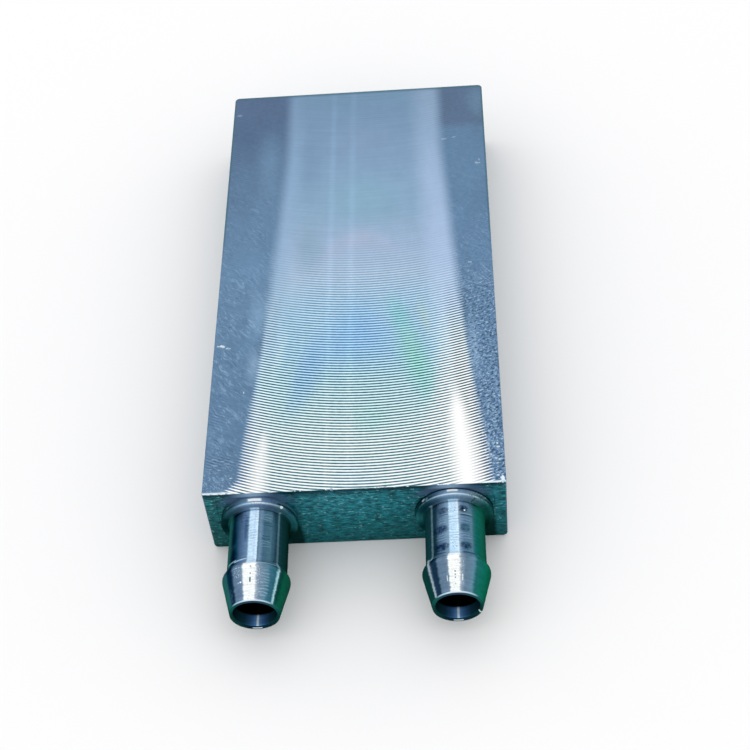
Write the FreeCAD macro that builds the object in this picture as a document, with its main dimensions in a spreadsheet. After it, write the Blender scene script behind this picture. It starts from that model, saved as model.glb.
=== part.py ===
import FreeCAD, Part
import Sketcher
import os

# Liquid cooling block: a finned aluminium extrusion closed by a plug at each end, with two
# turned hose barbs on the front plug. Millimetres, +Z up. The origin is the centre of the
# base face. The nozzles leave towards -Y, and the coolant turns back at the +Y end.

doc = FreeCAD.newDocument("LiquidCoolingBlock")
sheet = doc.addObject("Spreadsheet::Sheet", "Sizes")

driving_sizes = [
    # The extruded bar
    ("block_width", 40.0, "across the bar"),
    ("block_length", 80.0, "end face to end face"),
    ("block_height", 12.0, "base face to fly-cut face"),
    ("face_wall", 2.5, "metal between a channel and the base or the top face"),
    ("side_wall", 3.0, "metal between a channel and the bar's side"),
    ("web_thickness", 3.0, "web that parts the inlet channel from the outlet channel"),
    ("channel_radius", 1.0, "inside corners of the extruded channels"),
    ("base_edge_radius", 0.6, "long edges of the base, as extruded"),
    ("front_corner_radius", 0.2, "upright corners at the nozzle end"),
    ("rear_corner_radius", 0.7, "upright corners at the closed end"),
    # The comb fins inside
    ("fins_across", 6, "fins on the floor of one channel, and as many on its roof"),
    ("fin_root", 1.1, "thickness of a fin at the wall"),
    ("fin_tip", 0.8, "thickness of a fin at its tip"),
    ("fin_height", 2.6, "wall to tip"),
    ("front_plenum", 7.0, "room without fins behind the front plug"),
    ("return_passage", 9.0, "room without fins or web in front of the rear plug"),
    # The end plugs and their seals
    ("plug_thickness", 4.0, "depth of the plug in the bar"),
    ("rim_wall", 1.0, "bar's metal left above and below a plug"),
    ("rim_side", 1.6, "bar's metal left beside a plug"),
    ("pocket_radius", 2.0, "corners of the plug's pocket, from the cutter"),
    ("plug_clearance", 0.04, "between a plug and its pocket, all round"),
    ("seal_width", 0.8, "seal's width across the plug's step"),
    ("seal_depth", 0.8, "seal's depth along the bar"),
    # The ports and their sealing rings
    ("nozzle_inset", 7.0, "bar's side to the nearer nozzle axis"),
    ("port_clearance", 0.04, "between a spigot and its port, on the radius"),
    ("ring_width", 0.8, "sealing ring, inside to outside"),
    ("ring_depth", 0.8, "depth of the recess for the sealing ring"),
    # The turned nozzle
    ("bore_diameter", 5.6, "through the nozzle"),
    ("mouth_diameter", 6.1, "of the countersink at the mouth"),
    ("tip_diameter", 6.5, "outside of the cone at the mouth"),
    ("barb_diameter", 8.9, "outside of the barb's crest"),
    ("shank_diameter", 7.9, "outside of the plain shank"),
    ("flange_diameter", 10.3, "outside of the flange"),
    ("spigot_diameter", 6.9, "part of the nozzle inside the port"),
    ("spigot_overhang", 0.5, "of the spigot past the plug's inner face"),
    ("flange_thickness", 1.0, "along the axis"),
    ("flange_bevel", 0.3, "on the flange's outer edge"),
    ("shank_length", 8.0, "flange to barb ramp"),
    ("ramp_length", 0.85, "shank to barb crest, along the axis"),
    ("crest_land", 0.35, "narrow land on the barb's crest, along the axis"),
    ("cone_length", 4.8, "crest land to mouth"),
]

for row, (alias, value, note) in enumerate(driving_sizes, start=1):
    sheet.set("A%d" % row, alias)
    sheet.set("B%d" % row, str(value))
    sheet.set("C%d" % row, note)
    sheet.setAlias("B%d" % row, alias)
doc.recompute()

# Places that several pieces share, as expressions on the sheet
half_width = "Sizes.block_width / 2"
half_length = "Sizes.block_length / 2"
mid_height = "Sizes.block_height / 2"
channel_inner = "Sizes.web_thickness / 2"
channel_outer = "(Sizes.block_width / 2 - Sizes.side_wall)"
channel_floor = "Sizes.face_wall"
channel_roof = "(Sizes.block_height - Sizes.face_wall)"
fin_pitch = "(%s - %s) / (Sizes.fins_across + 1)" % (channel_outer, channel_inner)
pocket_half_width = "(Sizes.block_width / 2 - Sizes.rim_side)"
pocket_half_height = "(Sizes.block_height / 2 - Sizes.rim_wall)"
plug_half_width = "(%s - Sizes.plug_clearance)" % pocket_half_width
plug_half_height = "(%s - Sizes.plug_clearance)" % pocket_half_height
step_half_width = "(%s - Sizes.seal_width)" % pocket_half_width
step_half_height = "(%s - Sizes.seal_width)" % pocket_half_height
nozzle_place = "(Sizes.block_width / 2 - Sizes.nozzle_inset)"
ring_outside = "Sizes.spigot_diameter + 2 * Sizes.ring_width"


def make_body(label):
    """An empty body with its node name."""
    body = doc.addObject("PartDesign::Body", label)
    body.Label = label
    return body


def sketch_on(body, name, role, offset=None):
    """A sketch on one of the body's own origin planes, moved along that plane's normal."""
    sketch = body.newObject("Sketcher::SketchObject", name)
    plane = [part for part in body.Origin.OriginFeatures if part.Role == role][0]
    sketch.AttachmentSupport = [(plane, "")]
    sketch.MapMode = "FlatFace"
    if offset:
        sketch.setExpression("AttachmentOffset.Base.z", offset)
    return sketch


def bind(sketch, kind, geometry, point, expression):
    """A dimension from the sketch's origin to a point, bound to the sheet."""
    value = float(sketch.evalExpression(expression))
    index = sketch.addConstraint(Sketcher.Constraint(kind, -1, 1, geometry, point, value))
    sketch.setExpression("Constraints[%d]" % index, expression)


def outline(sketch, corners):
    """A closed outline of straight lines through corners given as pairs of expressions."""
    first = sketch.GeometryCount
    places = [FreeCAD.Vector(float(sketch.evalExpression(across)),
                             float(sketch.evalExpression(along)), 0)
              for across, along in corners]
    count = len(places)
    for number in range(count):
        sketch.addGeometry(Part.LineSegment(places[number], places[(number + 1) % count]), False)
    for number in range(count):
        following = first + (number + 1) % count
        sketch.addConstraint(Sketcher.Constraint("Coincident", first + number, 2, following, 1))
    for number, (across, along) in enumerate(corners):
        bind(sketch, "DistanceX", first + number, 1, across)
        bind(sketch, "DistanceY", first + number, 1, along)


def rectangle(sketch, left, right, low, high):
    outline(sketch, [(left, low), (right, low), (right, high), (left, high)])


def centred_rectangle(sketch, half_across, half_high):
    rectangle(sketch, negative(half_across), half_across, negative(half_high), half_high)


def circle_on_axis(sketch, across, diameter):
    """A circle whose centre lies on the sketch's horizontal axis."""
    radius = float(sketch.evalExpression(diameter)) / 2
    centre = FreeCAD.Vector(float(sketch.evalExpression(across)), 0, 0)
    number = sketch.addGeometry(Part.Circle(centre, FreeCAD.Vector(0, 0, 1), radius), False)
    sketch.addConstraint(Sketcher.Constraint("PointOnObject", number, 3, -1))
    bind(sketch, "DistanceX", number, 3, across)
    index = sketch.addConstraint(Sketcher.Constraint("Diameter", number, 2 * radius))
    sketch.setExpression("Constraints[%d]" % index, diameter)


def extrude(body, kind, name, sketch, length, reverse=False, symmetric=False):
    """A Pad or Pocket of a sketch, with its length bound to the sheet."""
    feature = body.newObject("PartDesign::" + kind, name)
    feature.Profile = sketch
    feature.setExpression("Length", length)
    feature.Reversed = reverse
    if symmetric:
        feature.SideType = "Symmetric"
    doc.recompute()
    return feature


def fillet(body, name, base, radius, picked):
    """A Fillet on the edges of a feature that a test picks."""
    edges = ["Edge%d" % (number + 1) for number, edge in enumerate(base.Shape.Edges) if picked(edge)]
    feature = body.newObject("PartDesign::Fillet", name)
    feature.Base = (base, edges)
    feature.setExpression("Radius", radius)
    doc.recompute()
    return feature


def size_of(name):
    return float(sheet.get(name))


def near(first, second):
    return abs(first - second) < 0.01


def is_straight(edge, axis):
    """True for a straight edge along the axis x, y or z."""
    if not isinstance(edge.Curve, Part.Line):
        return False
    return near(abs(getattr(edge.Curve.Direction, axis)), 1)


def negative(expression):
    return "-(%s)" % expression


# The extruded bar: outline, two channels, comb fins, then what is milled in at each end.
# A sketch on the XZ plane looks along +Y, and its normal points to -Y, the nozzle end.

def make_channel_body():
    body = make_body("channel_body")

    section = sketch_on(body, "bar_section", "XZ_Plane")
    rectangle(section, negative(half_width), half_width, "0", "Sizes.block_height")
    bar = extrude(body, "Pad", "bar", section, "Sizes.block_length", symmetric=True)

    channel_section = sketch_on(body, "channel_section", "XZ_Plane")
    rectangle(channel_section, channel_inner, channel_outer, channel_floor, channel_roof)
    rectangle(channel_section, negative(channel_outer), negative(channel_inner),
              channel_floor, channel_roof)
    channels = extrude(body, "Pocket", "channels", channel_section, "Sizes.block_length",
                       symmetric=True)

    def is_channel_corner(edge):
        middle = edge.CenterOfMass
        inside = size_of("block_width") / 2 - size_of("side_wall") / 2
        return is_straight(edge, "y") and abs(middle.x) < inside

    fillet(body, "channel_corners", channels, "Sizes.channel_radius", is_channel_corner)

    make_fins(body)
    cut_plug_pocket(body, "front_plug_pocket", half_length, reverse=False)
    cut_plug_pocket(body, "rear_plug_pocket", negative(half_length), reverse=True)

    passage_section = sketch_on(body, "passage_section", "XZ_Plane", negative(half_length))
    passage_side = "(%s + Sizes.channel_radius)" % channel_inner
    rectangle(passage_section, negative(passage_side), passage_side, channel_floor, channel_roof)
    passage = extrude(body, "Pocket", "return_passage", passage_section,
                      "Sizes.plug_thickness + Sizes.return_passage", reverse=True)

    def is_base_edge(edge):
        return (is_straight(edge, "y") and near(edge.CenterOfMass.z, 0)
                and near(abs(edge.CenterOfMass.x), size_of("block_width") / 2))

    base_rounded = fillet(body, "base_edges", passage, "Sizes.base_edge_radius", is_base_edge)

    def is_upright(edge, end):
        return (is_straight(edge, "z") and near(abs(edge.CenterOfMass.x), size_of("block_width") / 2)
                and near(edge.CenterOfMass.y, end * size_of("block_length") / 2))

    front_rounded = fillet(body, "front_corners", base_rounded, "Sizes.front_corner_radius",
                           lambda edge: is_upright(edge, -1))
    fillet(body, "rear_corners", front_rounded, "Sizes.rear_corner_radius",
           lambda edge: is_upright(edge, 1))
    return body


def make_fins(body):
    """One fin on the floor and one on the roof of each channel, repeated across."""
    channel_run = ("Sizes.block_length - 2 * Sizes.plug_thickness"
                   " - Sizes.front_plenum - Sizes.return_passage")
    run_start = "%s - Sizes.plug_thickness - Sizes.front_plenum" % half_length
    section = sketch_on(body, "fin_section", "XZ_Plane", run_start)
    for channel_start in (channel_inner, negative(channel_outer)):
        centre = "(%s + %s)" % (channel_start, fin_pitch)
        for wall, rise in ((channel_floor, "+"), (channel_roof, "-")):
            tip = "%s %s Sizes.fin_height" % (wall, rise)
            outline(section, [
                ("%s - Sizes.fin_root / 2" % centre, wall),
                ("%s + Sizes.fin_root / 2" % centre, wall),
                ("%s + Sizes.fin_tip / 2" % centre, tip),
                ("%s - Sizes.fin_tip / 2" % centre, tip),
            ])
    fin = extrude(body, "Pad", "first_fins", section, channel_run, reverse=True)
    row_of_fins = body.newObject("PartDesign::LinearPattern", "fin_rows")
    row_of_fins.Originals = [fin]
    row_of_fins.Direction = (section, ["H_Axis"])
    row_of_fins.Mode = "Spacing"
    row_of_fins.setExpression("Offset", fin_pitch)
    row_of_fins.setExpression("Occurrences", "Sizes.fins_across")
    body.Tip = row_of_fins
    doc.recompute()


def cut_plug_pocket(body, name, place, reverse):
    """The pocket that a plug sits in, with the cutter's radius in its corners."""
    section = sketch_on(body, name + "_section", "XZ_Plane", place)
    low = "%s - %s" % (mid_height, pocket_half_height)
    high = "%s + %s" % (mid_height, pocket_half_height)
    rectangle(section, negative(pocket_half_width), pocket_half_width, low, high)
    pocket = extrude(body, "Pocket", name, section, "Sizes.plug_thickness", reverse=reverse)
    corner_across = size_of("block_width") / 2 - size_of("rim_side")
    corner_height = size_of("block_height") / 2 - size_of("rim_wall")
    side = 1 if reverse else -1

    def is_pocket_corner(edge):
        middle = edge.CenterOfMass
        return (is_straight(edge, "y")
                and near(abs(middle.x), corner_across)
                and near(abs(middle.z - size_of("block_height") / 2), corner_height)
                and middle.y * side > 0)

    fillet(body, name + "_corners", pocket, "Sizes.pocket_radius", is_pocket_corner)


# The end plugs. A plug's own origin is the middle of its outer face, and it reaches towards +Y.

def make_plug(label, with_ports):
    body = make_body(label)
    plate_depth = "(Sizes.plug_thickness - Sizes.seal_depth)"

    plate_section = sketch_on(body, "plate_section", "XZ_Plane")
    centred_rectangle(plate_section, plug_half_width, plug_half_height)
    plate = extrude(body, "Pad", "plate", plate_section, plate_depth, reverse=True)
    fillet(body, "plate_corners", plate, "Sizes.pocket_radius - Sizes.plug_clearance",
           lambda edge: is_straight(edge, "y"))

    step_section = sketch_on(body, "step_section", "XZ_Plane", negative(plate_depth))
    centred_rectangle(step_section, step_half_width, step_half_height)
    step = extrude(body, "Pad", "step", step_section, "Sizes.seal_depth", reverse=True)
    step_start = size_of("plug_thickness") - size_of("seal_depth")

    def is_step_corner(edge):
        return is_straight(edge, "y") and edge.CenterOfMass.y > step_start

    fillet(body, "step_corners", step, "Sizes.pocket_radius - Sizes.seal_width", is_step_corner)

    if with_ports:
        port_section = sketch_on(body, "port_section", "XZ_Plane")
        recess_section = sketch_on(body, "recess_section", "XZ_Plane")
        for place in (nozzle_place, negative(nozzle_place)):
            circle_on_axis(port_section, place, "Sizes.spigot_diameter + 2 * Sizes.port_clearance")
            circle_on_axis(recess_section, place, ring_outside)
        extrude(body, "Pocket", "ports", port_section, "Sizes.plug_thickness")
        extrude(body, "Pocket", "ring_recesses", recess_section, "Sizes.ring_depth")
    return body


def make_plug_seal(label):
    """The ring of sealant in the step behind a plug, in the plug's own frame."""
    body = make_body(label)
    section = sketch_on(body, "seal_section", "XZ_Plane",
                        "-(Sizes.plug_thickness - Sizes.seal_depth)")
    centred_rectangle(section, pocket_half_width, pocket_half_height)
    centred_rectangle(section, step_half_width, step_half_height)
    ring = extrude(body, "Pad", "seal", section, "Sizes.seal_depth", reverse=True)
    step_edge = size_of("block_width") / 2 - size_of("rim_side") - size_of("seal_width")

    def is_inner_corner(edge):
        return is_straight(edge, "y") and near(abs(edge.CenterOfMass.x), step_edge)

    def is_outer_corner(edge):
        return is_straight(edge, "y") and near(abs(edge.CenterOfMass.x),
                                               step_edge + size_of("seal_width"))

    inner_rounded = fillet(body, "inner_corners", ring, "Sizes.pocket_radius - Sizes.seal_width",
                           is_inner_corner)
    fillet(body, "outer_corners", inner_rounded, "Sizes.pocket_radius", is_outer_corner)
    return body


# The nozzles, turned about their own Y axis. The back of the flange is at y = 0, and each
# length along the nozzle is added to the last one, on the way out to the mouth.

def make_nozzle(label):
    body = make_body(label)
    profile = sketch_on(body, "turned_profile", "XY_Plane")
    spigot_end = "(Sizes.plug_thickness + Sizes.spigot_overhang)"
    flange_front = "-Sizes.flange_thickness"
    shank_end = flange_front + " - Sizes.shank_length"
    crest_start = shank_end + " - Sizes.ramp_length"
    crest_end = crest_start + " - Sizes.crest_land"
    mouth = crest_end + " - Sizes.cone_length"
    countersink = "(Sizes.mouth_diameter - Sizes.bore_diameter) / 2"
    outline(profile, [
        ("Sizes.bore_diameter / 2", spigot_end),
        ("Sizes.spigot_diameter / 2", spigot_end),
        ("Sizes.spigot_diameter / 2", "0"),
        ("Sizes.flange_diameter / 2", "0"),
        ("Sizes.flange_diameter / 2", flange_front + " + Sizes.flange_bevel"),
        ("Sizes.flange_diameter / 2 - Sizes.flange_bevel", flange_front),
        ("Sizes.shank_diameter / 2", flange_front),
        ("Sizes.shank_diameter / 2", shank_end),
        ("Sizes.barb_diameter / 2", crest_start),
        ("Sizes.barb_diameter / 2", crest_end),
        ("Sizes.tip_diameter / 2", mouth),
        ("Sizes.mouth_diameter / 2", mouth),
        ("Sizes.bore_diameter / 2", "%s + %s" % (mouth, countersink)),
    ])
    turned = body.newObject("PartDesign::Revolution", "turned")
    turned.Profile = profile
    turned.ReferenceAxis = (profile, ["V_Axis"])
    doc.recompute()
    return body


def make_seal_ring(label):
    """The sealing ring in the port recess, under the flange."""
    body = make_body(label)
    section = sketch_on(body, "ring_section", "XZ_Plane")
    circle_on_axis(section, "0", ring_outside)
    circle_on_axis(section, "0", "Sizes.spigot_diameter")
    extrude(body, "Pad", "ring", section, "Sizes.ring_depth", reverse=True)
    return body


def place(body, across, along, turned=False):
    """Put a piece on the block's middle height, turned to face the closed end or not."""
    if turned:
        half_turn = FreeCAD.Rotation(FreeCAD.Vector(0, 0, 1), 180)
        body.Placement = FreeCAD.Placement(FreeCAD.Vector(), half_turn)
    body.setExpression("Placement.Base.x", across)
    body.setExpression("Placement.Base.y", along)
    body.setExpression("Placement.Base.z", mid_height)
    doc.recompute()
    return body


# The block put together

front_end = negative(half_length)
rear_end = half_length
pieces = [
    make_channel_body(),
    place(make_plug("front_plug", with_ports=True), "0", front_end),
    place(make_plug("rear_plug", with_ports=False), "0", rear_end, turned=True),
    place(make_plug_seal("front_plug_seal"), "0", front_end),
    place(make_plug_seal("rear_plug_seal"), "0", rear_end, turned=True),
    place(make_nozzle("inlet_nozzle"), negative(nozzle_place), front_end),
    place(make_nozzle("outlet_nozzle"), nozzle_place, front_end),
    place(make_seal_ring("inlet_seal_ring"), negative(nozzle_place), front_end),
    place(make_seal_ring("outlet_seal_ring"), nozzle_place, front_end),
]
doc.recompute()

for item in doc.Objects:
    if "Invalid" in item.State or "Error" in item.State:
        raise RuntimeError("%s failed to build" % item.Label)
for piece in pieces:
    if piece.Shape.isNull() or not piece.Shape.isValid() or len(piece.Shape.Solids) != 1:
        raise RuntimeError("%s is not one valid solid" % piece.Label)

os.makedirs("parts", exist_ok=True)
for piece in pieces:
    piece.Shape.exportStep("parts/%s.step" % piece.Label)
    print("%-18s %9.2f mm3" % (piece.Label, piece.Shape.Volume))
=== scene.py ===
import math
import random

import bpy
from mathutils import Matrix, Vector


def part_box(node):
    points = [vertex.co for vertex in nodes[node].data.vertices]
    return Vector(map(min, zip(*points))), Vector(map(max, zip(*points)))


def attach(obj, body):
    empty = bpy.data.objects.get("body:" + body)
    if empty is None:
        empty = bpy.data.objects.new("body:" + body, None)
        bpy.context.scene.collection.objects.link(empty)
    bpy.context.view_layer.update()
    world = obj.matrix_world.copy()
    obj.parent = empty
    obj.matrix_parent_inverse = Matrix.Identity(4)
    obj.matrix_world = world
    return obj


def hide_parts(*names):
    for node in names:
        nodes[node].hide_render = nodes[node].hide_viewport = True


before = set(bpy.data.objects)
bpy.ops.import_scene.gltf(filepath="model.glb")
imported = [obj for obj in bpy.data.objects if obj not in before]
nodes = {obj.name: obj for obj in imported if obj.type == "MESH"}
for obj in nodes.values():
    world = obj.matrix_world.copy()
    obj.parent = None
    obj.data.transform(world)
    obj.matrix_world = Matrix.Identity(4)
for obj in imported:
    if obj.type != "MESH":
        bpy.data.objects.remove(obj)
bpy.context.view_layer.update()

mm = 0.001

blockLow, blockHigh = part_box("channel_body")
topZ = blockHigh.z


# Mesh helpers: everything is selected in code, by its place

def deselectAll():
    if bpy.context.mode != "OBJECT":
        bpy.ops.object.mode_set(mode="OBJECT")
    bpy.ops.object.select_all(action="DESELECT")


def selectOnly(piece):
    deselectAll()
    piece.select_set(True)
    bpy.context.view_layer.objects.active = piece


def newPiece(name):
    # names what was just added, and moves its place into its mesh
    piece = bpy.context.active_object
    piece.name = name
    piece.data.name = name
    bpy.ops.object.transform_apply(location=True, rotation=True, scale=True)
    return piece


def enterEdit(piece, kind="VERT"):
    bpy.context.view_layer.objects.active = piece
    bpy.ops.object.mode_set(mode="EDIT")
    bpy.ops.mesh.select_mode(type=kind)


def pick(piece, kind, test):
    # picks the vertices whose place passes the test, or the edges of which both ends pass it
    enterEdit(piece, kind)
    bpy.ops.mesh.select_all(action="DESELECT")
    bpy.ops.object.mode_set(mode="OBJECT")
    points = piece.data.vertices
    if kind == "VERT":
        for point in points:
            point.select = test(point.co)
    else:
        for edge in piece.data.edges:
            edge.select = all(test(points[corner].co) for corner in edge.vertices)
    bpy.ops.object.mode_set(mode="EDIT")


def shadeByAngle(piece, degrees):
    selectOnly(piece)
    bpy.ops.object.shade_smooth_by_angle(angle=math.radians(degrees))
    piece.select_set(False)


def dress(piece, material):
    piece.data.materials.clear()
    piece.data.materials.append(material)
    for face in piece.data.polygons:
        face.material_index = 0


# Material helpers: they add to the node tree in hand, and pass on its sockets

inHand = {}


def addNode(kind):
    return inHand["tree"].nodes.new(kind)


def feed(target, value):
    if isinstance(value, bpy.types.NodeSocket):
        inHand["tree"].links.new(value, target)
    elif target.type == "VECTOR" and len(value) == 4:
        target.default_value = value[:3]
    else:
        target.default_value = value


def paint(red, green, blue):
    # a colour as it is read off a swatch, 0 to 255, turned into the shader's linear values
    values = []
    for value in (red, green, blue):
        value = value / 255
        values.append(value / 12.92 if value <= 0.04045 else ((value + 0.055) / 1.055) ** 2.4)
    return (*values, 1.0)


def startFinish(name, metallic=1.0):
    material = bpy.data.materials.new(name)
    material.use_nodes = True
    inHand["tree"] = material.node_tree
    shader = material.node_tree.nodes["Principled BSDF"]
    shader.inputs["Metallic"].default_value = metallic
    return material, shader


def endFinish(shader, shade, roughness, height=None, depth=0.0, strength=1.0):
    # the last links of every finish: its shade, its roughness and its fine relief in millimetres
    feed(shader.inputs["Base Color"], shade)
    feed(shader.inputs["Roughness"], roughness)
    if height is not None:
        node = addNode("ShaderNodeBump")
        node.inputs["Strength"].default_value = strength
        node.inputs["Distance"].default_value = depth * mm
        feed(node.inputs["Height"], height)
        feed(shader.inputs["Normal"], node.outputs[0])


def calc(operation, *values):
    node = addNode("ShaderNodeMath")
    node.operation = operation
    for slot, value in enumerate(values):
        feed(node.inputs[slot], value)
    return node.outputs[0]


def plus(first, second):
    return calc("ADD", first, second)


def minus(first, second):
    return calc("SUBTRACT", first, second)


def times(*values):
    product = values[0]
    for value in values[1:]:
        product = calc("MULTIPLY", product, value)
    return product


def scaled(value, factor, offset):
    return calc("MULTIPLY_ADD", value, factor, offset)


def larger(first, second):
    return calc("MAXIMUM", first, second)


def absolute(value):
    return calc("ABSOLUTE", value)


def distance(first, second):
    return calc("SQRT", plus(times(first, first), times(second, second)))


def fromTo(share, start, end):
    # start where the share is 0, end where it is 1
    return scaled(share, end - start, start)


def softStep(value, low, high):
    # 0 below low, 1 above high, smooth between
    node = addNode("ShaderNodeMapRange")
    node.interpolation_type = "SMOOTHSTEP"
    feed(node.inputs["Value"], value)
    feed(node.inputs["From Min"], low)
    feed(node.inputs["From Max"], high)
    return node.outputs[0]


def partly(value, low, high, share):
    # the same, but it ends at a share
    return times(softStep(value, low, high), share)


def band(value, low, high, soft):
    # 1 between low and high, fading over soft at each side
    return times(softStep(value, low - soft, low + soft), softStep(value, high + soft, high - soft))


def hump(value, centre, reach):
    # 1 at the centre, fading to 0 at the reach on each side
    return softStep(absolute(minus(value, centre)), reach, 0)


def spot(x, y, across, along, reachX, reachY):
    # 1 at a place, fading to 0 at its reach each way
    share = distance(calc("DIVIDE", minus(x, across), reachX), calc("DIVIDE", minus(y, along), reachY))
    return softStep(share, 1, 0)


def vary(source, amount, middle=1.0):
    # turns a noise of 0 to 1 into a number that swings about the middle
    return scaled(source, amount, middle - amount / 2)


def mixColour(factor, under, over, mode="MIX"):
    node = addNode("ShaderNodeMix")
    node.data_type = "RGBA"
    node.blend_type = mode
    for slot, value in ((0, factor), (6, under), (7, over)):
        feed(node.inputs[slot], value)
    return node.outputs[2]


def scaleColour(colour, factor):
    node = addNode("ShaderNodeVectorMath")
    node.operation = "SCALE"
    feed(node.inputs[0], colour)
    feed(node.inputs["Scale"], factor)
    return node.outputs[0]


def shadesAlong(value, stops):
    # a colour that changes with a place or an angle: each stop is a place and a swatch
    node = addNode("ShaderNodeValToRGB")
    low, high = stops[0][0], stops[-1][0]
    elements = node.color_ramp.elements
    while len(elements) < len(stops):
        elements.new(0.5)
    for element, (place, *swatch) in zip(elements, stops):
        element.position = (place - low) / (high - low)
        element.color = paint(*swatch)
    feed(node.inputs[0], calc("DIVIDE", minus(value, low), high - low))
    return node.outputs[0]


def placeInMillimetres():
    # the piece's own coordinates, in millimetres, as three numbers
    parts = addNode("ShaderNodeSeparateXYZ")
    feed(parts.inputs[0], scaleColour(addNode("ShaderNodeTexCoord").outputs["Object"], 1 / mm))
    return parts.outputs[0], parts.outputs[1], parts.outputs[2]


def aboutAxis(node, x, z):
    # how far a point lies beside and above the axis of a nozzle, and its distance from it
    low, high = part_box(node)
    side = minus(x, (low.x + high.x) / 2 / mm)
    up = minus(z, (low.z + high.z) / 2 / mm)
    return side, up, distance(side, up)


def joined(x, y, z):
    node = addNode("ShaderNodeCombineXYZ")
    for slot, value in enumerate((x, y, z)):
        feed(node.inputs[slot], value)
    return node.outputs[0]


def grain(places, scales, detail=2.0, roughness=0.5, distortion=0.0, start=0.0):
    # a noise of 0 to 1 with its own scale along each measure
    parts = [scaled(place, scale, start) for place, scale in zip(places, scales)]
    while len(parts) < 3:
        parts.append(start)
    node = addNode("ShaderNodeTexNoise")
    node.inputs["Scale"].default_value = 1.0
    node.inputs["Detail"].default_value = detail
    node.inputs["Roughness"].default_value = roughness
    node.inputs["Distortion"].default_value = distortion
    feed(node.inputs["Vector"], joined(*parts))
    return node.outputs[0]


# Camera, from the corners of the block

camera = {
    "place": (16.095 * mm, -167.782 * mm, 183.728 * mm),
    "turn": 5.145,       # degrees about the upright axis
    "tilt": 40.709,      # degrees up from straight down
    "roll": -6.667,      # degrees about the line of sight
    "sensor": 36.0,
    "lens": 78.69,
    "clip": (0.01, 20.0),
}


def makeCamera():
    data = bpy.data.cameras.new("camera")
    data.sensor_width = camera["sensor"]
    data.lens = camera["lens"]
    data.clip_start, data.clip_end = camera["clip"]
    viewer = bpy.data.objects.new("camera", data)
    bpy.context.scene.collection.objects.link(viewer)
    turned = Matrix.Identity(4)
    for turn, axis in (("turn", "Z"), ("tilt", "X"), ("roll", "Z")):
        turned = turned @ Matrix.Rotation(math.radians(camera[turn]), 4, axis)
    viewer.location = camera["place"]
    viewer.rotation_euler = turned.to_euler()
    bpy.context.scene.camera = viewer


# Studio: a pale floor, an even pale surround and two soft lamps

studio = {
    "floorSize": 6.0,
    "floorLevel": -0.02 * mm,   # a hair under the base, so that the two don't coincide
    "floorColour": paint(247, 247, 248),
    "surroundLight": 1.06,      # what lights the floor and the shadows
    "surroundShown": 1.0,       # what the eye and bright metal see
    # each lamp: place, size and watts
    "lamps": {
        "keyLamp": ((-0.05, 0.46, 0.62), (0.30, 0.60), 0.06),
        "fillLamp": ((-0.55, -0.45, 0.65), (0.5, 0.5), 0.12),
    },
}


def makeLamp(name, place, size, watts):
    data = bpy.data.lights.new(name, "AREA")
    data.shape = "RECTANGLE"
    data.size, data.size_y = size
    data.energy = watts
    lamp = bpy.data.objects.new(name, data)
    bpy.context.scene.collection.objects.link(lamp)
    lamp.location = place
    aim = Vector((0.0, 0.0, topZ)) - Vector(place)
    lamp.rotation_euler = aim.to_track_quat("-Z", "Y").to_euler()


def makeStudio():
    deselectAll()
    bpy.ops.mesh.primitive_plane_add(size=studio["floorSize"], location=(0, 0, studio["floorLevel"]))
    floor = newPiece("floor")
    material, shader = startFinish("paleFloor", metallic=0.0)
    shader.inputs["Specular IOR Level"].default_value = 0.0
    endFinish(shader, studio["floorColour"], 1.0)
    dress(floor, material)

    world = bpy.data.worlds.new("surround")
    bpy.context.scene.world = world
    world.use_nodes = True
    inHand["tree"] = world.node_tree
    background = world.node_tree.nodes["Background"]
    background.inputs["Color"].default_value = (1, 1, 1, 1)
    rays = addNode("ShaderNodeLightPath").outputs
    seen = larger(larger(rays["Is Camera Ray"], rays["Is Glossy Ray"]), rays["Is Transmission Ray"])
    feed(background.inputs["Strength"], fromTo(seen, studio["surroundLight"], studio["surroundShown"]))

    for name, (place, size, watts) in studio["lamps"].items():
        makeLamp(name, place, size, watts)


# Fly-cut face: one scallop is drawn along its arc, repeated down the block and trimmed to the outline

flyCut = {
    "pitch": 0.4875,         # millimetres from one cut to the next
    "arcRadius": 49.5,
    "arcCentre": 1.7,        # how far the cutter's path lies to the right of the middle
    "depth": 0.022,
    "lowest": 0.006,         # deepest line of a cut above the bar's own face
    "skirt": 0.25,           # how far the edge of the face goes down into the bar
    "inset": 0.03,           # width of the bare edge round the face
    "steps": 26,             # straight runs in one arc
    "across": 4,             # faces across one scallop
    "frontCorner": 0.2,
    "rearCorner": 0.7,
    "cornerCuts": 4,
    "merge": 0.001,          # points closer than this are one point
    "smoothBelow": 12,       # degrees between faces
}


def arcSag(across):
    # how far a cut has moved up the block at a place across it, in millimetres
    run = across - flyCut["arcCentre"]
    return flyCut["arcRadius"] - math.sqrt(flyCut["arcRadius"] ** 2 - run ** 2)


def firstCut():
    # where the first cut starts at its lowest point, below the near edge so that its ends reach it
    return blockLow.y / mm - arcSag(blockLow.x / mm) - flyCut["pitch"]


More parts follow.
